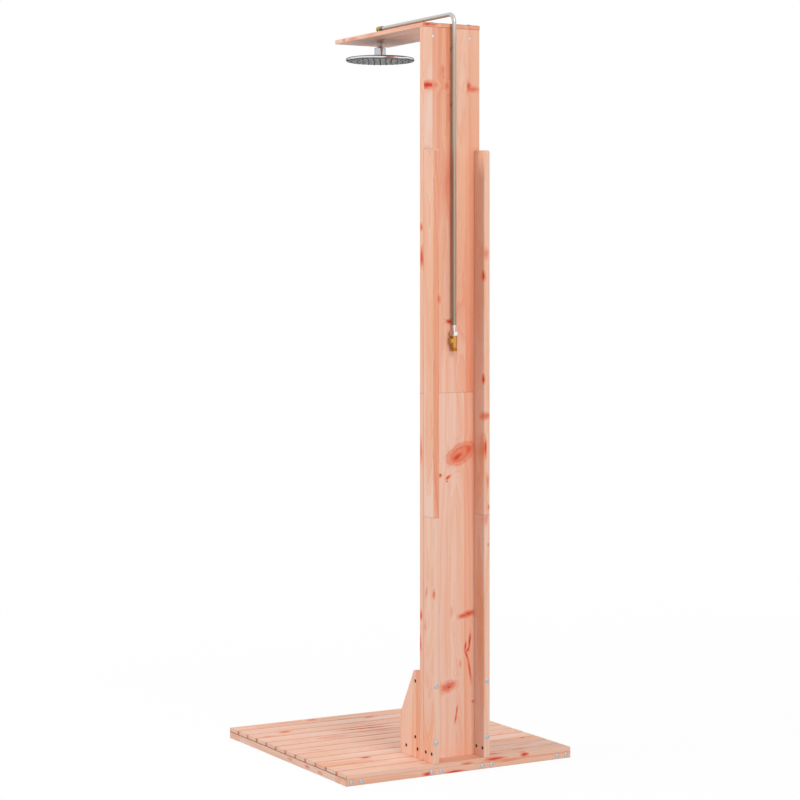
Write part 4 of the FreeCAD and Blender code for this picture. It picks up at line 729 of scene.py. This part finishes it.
BALL = (0, HEAD_Y, 2.001)
turned_part("hollow_stem", "head_stem",
            [(3.5, -10.43)] + arc((0, 0), (11, 11), -70, 56.9, 16)
            + [(6, 10), (6, 14.6), (6.4, 15.4), (8.4, 16), (8.85, 16.2), (9, 16.6), (9, 26.2),
               (9.3, 26.8), (10.6, 27), (11, 27.4), (11, 28.8), (10.8, 29), (7.5, 29), (7.5, 51.6),
               (7.1, 52), (3.5, 52)],
            BALL, "post", STEM_STEEL)
turned_part("ball_joint_nut", "ball_nut",
            [(13.8, -17), (15.9, -17), (16.3, -16.8), (16.5, -16.4), (16.5, -13.6), (16.1, -13),
             (16.1, -12.4), (16.5, -11.8), (16.5, 10.9), (16.3, 11.9), (15.9, 12.6), (15.2, 13),
             (12, 13), (11.2, 11.6), (9.6, 8.6), (8.5, 7), (8.65, 6.9)]
            + arc((0, 0), (11.3, 11.3), 36, 4, 6) + [(13.8, 0.5)],
            BALL, "shower_head", CHROME)
turned_part("rose_shell", "head_shell",
            [(3.5, -7.9), (9.35, -7.9), (10.3, -7.4), (13.3, -7.4), (13.5, -7.7), (13.5, -16.4),
             (13.9, -17)] + arc((95, -22), (5, 5), 90, -90, 18)
            + [(95, -27), (95, -23.5), (90, -23.5), (90, -18.5), (3.5, -18.5)],
            BALL, "shower_head", ROSE_CHROME, steps=128)

# ---------------------------------------------------------------- tail fitting

FOOT = (0, TUBE_Y, TUBE_FOOT)
VALVE_SIDE = (0, TUBE_Y, 1.172)
turned_part("tapered_adapter", "tube_adapter",
            [(3, 12), (4.94, 12), (4.94, 0), (5.6, 0), (6, -0.4), (6, -2.2), (5.5, -4.5), (5.0, -8),
             (4.55, -12), (4.3, -14.2), (4.3, -20.3), (6.8, -20.3), (6.8, -23.3), (3, -23.3)],
            FOOT, "post", BRIGHT_CHROME)

nut = spun([(4.6, -17), (9.4, -17), (10.4, -17.3), (11.5, -18.2), (12, -19.2), (12, -27.8),
            (11.5, -28.8), (10.4, -29.7), (9.4, -30), (7.8, -30), (7.8, -20), (4.6, -20)],
           steps=60, closed=True)
six_sided([point for point in nut.verts if math.hypot(point.co.x, point.co.y) > 0.0093],
          21.6, math.radians(28.6))
union_nut = bmesh.new()
placed(union_nut, nut, FOOT)
finished("hexagon_union_nut", union_nut, "post", BRIGHT_CHROME, ("union_nut",))

valve = bmesh.new()
placed(valve, spun([(3, -24.8), (7.3, -24.8), (7.5, -25.1), (7.5, -30.6), (7.1, -31.2), (7.1, -32.4),
                    (7.5, -33), (7.5, -54), (7.8, -54.6), (7.8, -56.4), (7.4, -57), (7.4, -60.8),
                    (7.2, -61), (6.1, -61), (6.1, -50), (3, -50)], closed=True), FOOT)
placed(valve, spun([(0, 0), (7.9, 1.5), (8.1, 6.8), (8.5, 7.4), (8.5, 12), (8.3, 12.6), (7.9, 13),
                    (6.2, 13), (6.2, 11.2), (4.1, 11.2), (4.1, 8), (0, 8)]), VALVE_SIDE, (1, 0, 0))
finished("brass_valve_body", valve, "post", BRASS, ("valve_body",))

THREAD_PITCH = 1.7
threads = []
for number in range(5):
    crest = -62.0 - number * THREAD_PITCH
    threads += [(8.3, crest), (7.6, crest - 0.75), (7.6, crest - 0.95), (8.3, crest - THREAD_PITCH)]
turned_part("threaded_nipple", "hose_nipple",
            [(6.1, -61), (7.9, -61), (8.3, -61.2)] + threads
            + [(8.3, -71.2), (7.5, -72), (3.4, -72), (3, -71.6), (3, -50.3), (6.1, -50.3)],
            FOOT, "post", BRASS)

# The key's slot is cut across its face, and lies along the tube while the valve is open.
key = spun([(0, 4.5), (4, 4.5), (4, 11.2), (5.6, 11.2), (6, 11.6), (6, 13.1), (5.5, 13.6),
            (0, 13.6)])
SLOT_HALF = 0.7
slotted(key, [(offset, (0, 1, 0)) for offset in (SLOT_HALF, -SLOT_HALF)],
        lambda spot: spot.z > 0.01359 and abs(spot.y) < SLOT_HALF / 1000, 0.0014)
spindle = bmesh.new()
placed(spindle, key, VALVE_SIDE, (1, 0, 0))
finished("slotted_key", spindle, "valve_key", BRASS, ("valve_spindle",))

# ---------------------------------------------------------------- bolts, barrel nuts and screws


def dome_bolt(length, size=1.0):
    """A button head with a six-sided socket, and its plain shank; size widens the head."""
    bolt = spun([(0, -length), (2, -length), (2.5, 0.8 - length), (2.5, 0), (4.6, 0), (4.8, 0.2),
                 (4.8, 0.7), (4.55, 1.3), (3.95, 1.9), (3.0, 2.35), (2.1, 2.58), (1.85, 2.6),
                 (1.7, 2.45), (1.7, 1.1), (0, 0.7)], steps=24)
    six_sided([point for point in bolt.verts
               if point.co.z > 0.001 and math.hypot(point.co.x, point.co.y) < 0.0018], 3.0)
    head = [point for point in bolt.verts if point.co.z > 0.0001]
    bmesh.ops.scale(bolt, vec=(size, size, 1), verts=head)
    return bolt


def barrel_nut(length):
    """A round bar with a screwdriver slot in its outer end."""
    bar = spun([(0, 0), (4.5, 0), (4.8, -0.3), (4.8, 0.3 - length), (4.5, -length), (0, -length)],
               steps=24)
    slotted(bar, [(offset, (0, 1, 0)) for offset in (0.6, -0.6)],
            lambda spot: spot.z > -1e-6 and abs(spot.y) < 0.0006, 0.0014)
    return bar


def flush_screw(length, head=4.0, shank=2.0):
    """A countersunk head with a cross for the driver, and its shank with a point."""
    screw = spun([(0, -length), (shank, 2 * shank - length), (shank, shank - head), (head, -0.05),
                  (head * 0.92, 0), (head * 0.62, 0), (0, 0)], steps=16)
    slotted(screw, [(offset, side) for side in ((0, 1, 0), (1, 0, 0)) for offset in (0.4, -0.4)],
            lambda spot: (spot.z > -1e-6 and math.hypot(spot.x, spot.y) < head * 0.00062
                          and min(abs(spot.x), abs(spot.y)) < 0.0004), 0.0012)
    return screw


def fixings(name, node, make, spots, towards, finish=ZINC):
    """One piece for a set of like fasteners, each at its own spot and turn."""
    piece = bmesh.new()
    for number, spot in enumerate(spots):
        placed(piece, make(), spot, towards(spot), 0.7 + 1.1 * number)
    return finished(name, piece, "post", finish, (node,) if node else ())


def facing(direction):
    return lambda spot: direction


def sideways(spot):
    """Outwards from the middle of the post, to the left or to the right."""
    return (1, 0, 0) if spot[0] > 0 else (-1, 0, 0)


RAIL_X = 0.081
SIDES = (RAIL_X, -RAIL_X)
NUT_SIDES = (0.0895, -0.0895)
UP_BOLTS = (0.210, 0.272, 0.316, 0.347)
CROSS_HEIGHTS = (0.087, 0.240)
BEAM_SPOTS = (-0.327, -0.081, 0.081, 0.327)
RAIL_SCREW_HEIGHTS = (0.420, 0.640, 0.750, 0.975, 1.085, 1.3625, 1.640)

fixings("button_bolts_from_below", "deck_bolts", lambda: dome_bolt(57.8),
        [(side, depth, 0.004) for side in SIDES for depth in UP_BOLTS], facing((0, 0, -1)))
fixings("barrel_nuts_in_post", "deck_barrel_nuts", lambda: barrel_nut(17),
        [(side, depth, 0.0555) for side in NUT_SIDES for depth in UP_BOLTS], sideways, BLACK_STEEL)
fixings("button_bolts_through_rails", "cross_bolts", lambda: dome_bolt(103.9, 1.28),
        [(side, 0.357, height) for side in SIDES for height in CROSS_HEIGHTS], facing((0, 1, 0)))
fixings("barrel_nuts_in_gussets", "cross_barrel_nuts", lambda: barrel_nut(17),
        [(side, 0.2594, height) for side in NUT_SIDES for height in CROSS_HEIGHTS], sideways,
        BLACK_STEEL)
fixings("button_bolts_on_canopy", "canopy_bolts", lambda: dome_bolt(42, 1.2),
        [(side, 0.294, 2.042) for side in (0.060, -0.060)], facing((0, 0, 1)))
fixings("barrel_nuts_in_board", "canopy_barrel_nuts", lambda: barrel_nut(19),
        [(side, 0.3035, 2.006) for side in (0.060, -0.060)], facing((0, 1, 0)), PALE_ZINC)
fixings("screws_into_rails", "rail_screws", lambda: flush_screw(50),
        [(side, 0.284, height) for side in SIDES for height in RAIL_SCREW_HEIGHTS], facing((0, -1, 0)))
fixings("screws_into_tube_stand_offs", "boss_screws", lambda: flush_screw(25),
        [(0, 0.284, height) for height in (1.973, 1.8205)], facing((0, -1, 0)))
batten_spots = [(beam + offset, 0.009) for beam in BEAM_SPOTS for offset in (-0.015, 0.015)]
fixings("button_screws_in_battens", "batten_screws", lambda: dome_bolt(90, 1.28),
        [(across, end, height) for across, height in batten_spots for end in (0.357, -0.357)],
        lambda spot: (0, math.copysign(1, spot[1]), 0))
fixings("slat_screws_from_below", None, lambda: flush_screw(26, 3.6, 1.6),
        [(beam + math.copysign(0.012, (number % 2) - 0.5), -0.330 + number * 0.06 + offset, -0.00004)
         for beam in BEAM_SPOTS for number in range(12) for offset in (-0.014, 0.014)
         if abs(-0.330 + number * 0.06 + offset) < 0.290], facing((0, 0, -1)))

# ---------------------------------------------------------------- floor, daylight and lamps

WHITE = (1, 1, 1, 1)
FLOOR_REACH = 9.0
floor_mesh = bmesh.new()
bmesh.ops.create_circle(floor_mesh, cap_ends=True, segments=96, radius=FLOOR_REACH)
floor_data = bpy.data.meshes.new("floor")
floor_mesh.to_mesh(floor_data)
floor_mesh.free()
floor = bpy.data.objects.new("floor", floor_data)
floor.location = (0, 0, -0.0006)
scene.collection.objects.link(floor)

bench = Bench("white_floor")
seen = bench.seen()
bench.set(Base_Color=bench.mixed(seen, (0.5, 0.5, 0.5, 1), WHITE), Roughness=0.9)
glow = bench.add("ShaderNodeEmission", (("Color", WHITE), ("Strength", 1.0))).outputs[0]
shown = bench.blended(bench.maths("MULTIPLY", seen, 0.94), bench.shader.outputs[0], glow)
far = bench.spread(bench.length(bench.place()), 1.0, FLOOR_REACH * 0.5)
clear = bench.add("ShaderNodeBsdfTransparent").outputs[0]
# from beneath, the floor lets the post be seen
beneath = bench.add("ShaderNodeNewGeometry").outputs["Backfacing"]
gone = bench.maths("MAXIMUM", bench.maths("MULTIPLY", far, seen), beneath)
bench.feed(bench.out.inputs["Surface"], bench.blended(gone, shown, clear))
floor.data.materials.append(bench.finish)

world = bpy.data.worlds.new("daylight")
scene.world = world
world.use_nodes = True
sky = Tree(world.node_tree)
soft, bright = (sky.add("ShaderNodeBackground", (("Color", WHITE), ("Strength", strength))).outputs[0]
                for strength in (0.46, 1.0))
sky.add("ShaderNodeOutputWorld", (("Surface", sky.blended(sky.seen(), soft, bright)),))


def lamp(name, place, target, size, power, mirrored=False):
    """A square soft box that faces its target; mirrored ones show in the metal."""
    light = bpy.data.lights.new(name, "AREA")
    light.shape = "SQUARE"
    light.size = size
    light.energy = power
    holder = bpy.data.objects.new(name, light)
    holder.location = place
    aim = Vector(target) - Vector(place)
    holder.rotation_euler = aim.to_track_quat("-Z", "Y").to_euler()
    holder.visible_glossy = mirrored
    scene.collection.objects.link(holder)


lamp("key", (4.8, -0.1, 3.0), (0, 0.2, 1.0), 2.0, 121)
lamp("high_rear", (0.1, 5.0, 4.8), (0, 0.3, 1.0), 1.8, 82, True)
lamp("low_rear", (-0.2, 6.5, 0.7), (0, 0.3, 0.9), 2.4, 122)
lamp("front", (-0.8, -5.0, 2.6), (0, 0, 1.0), 2.6, 70)
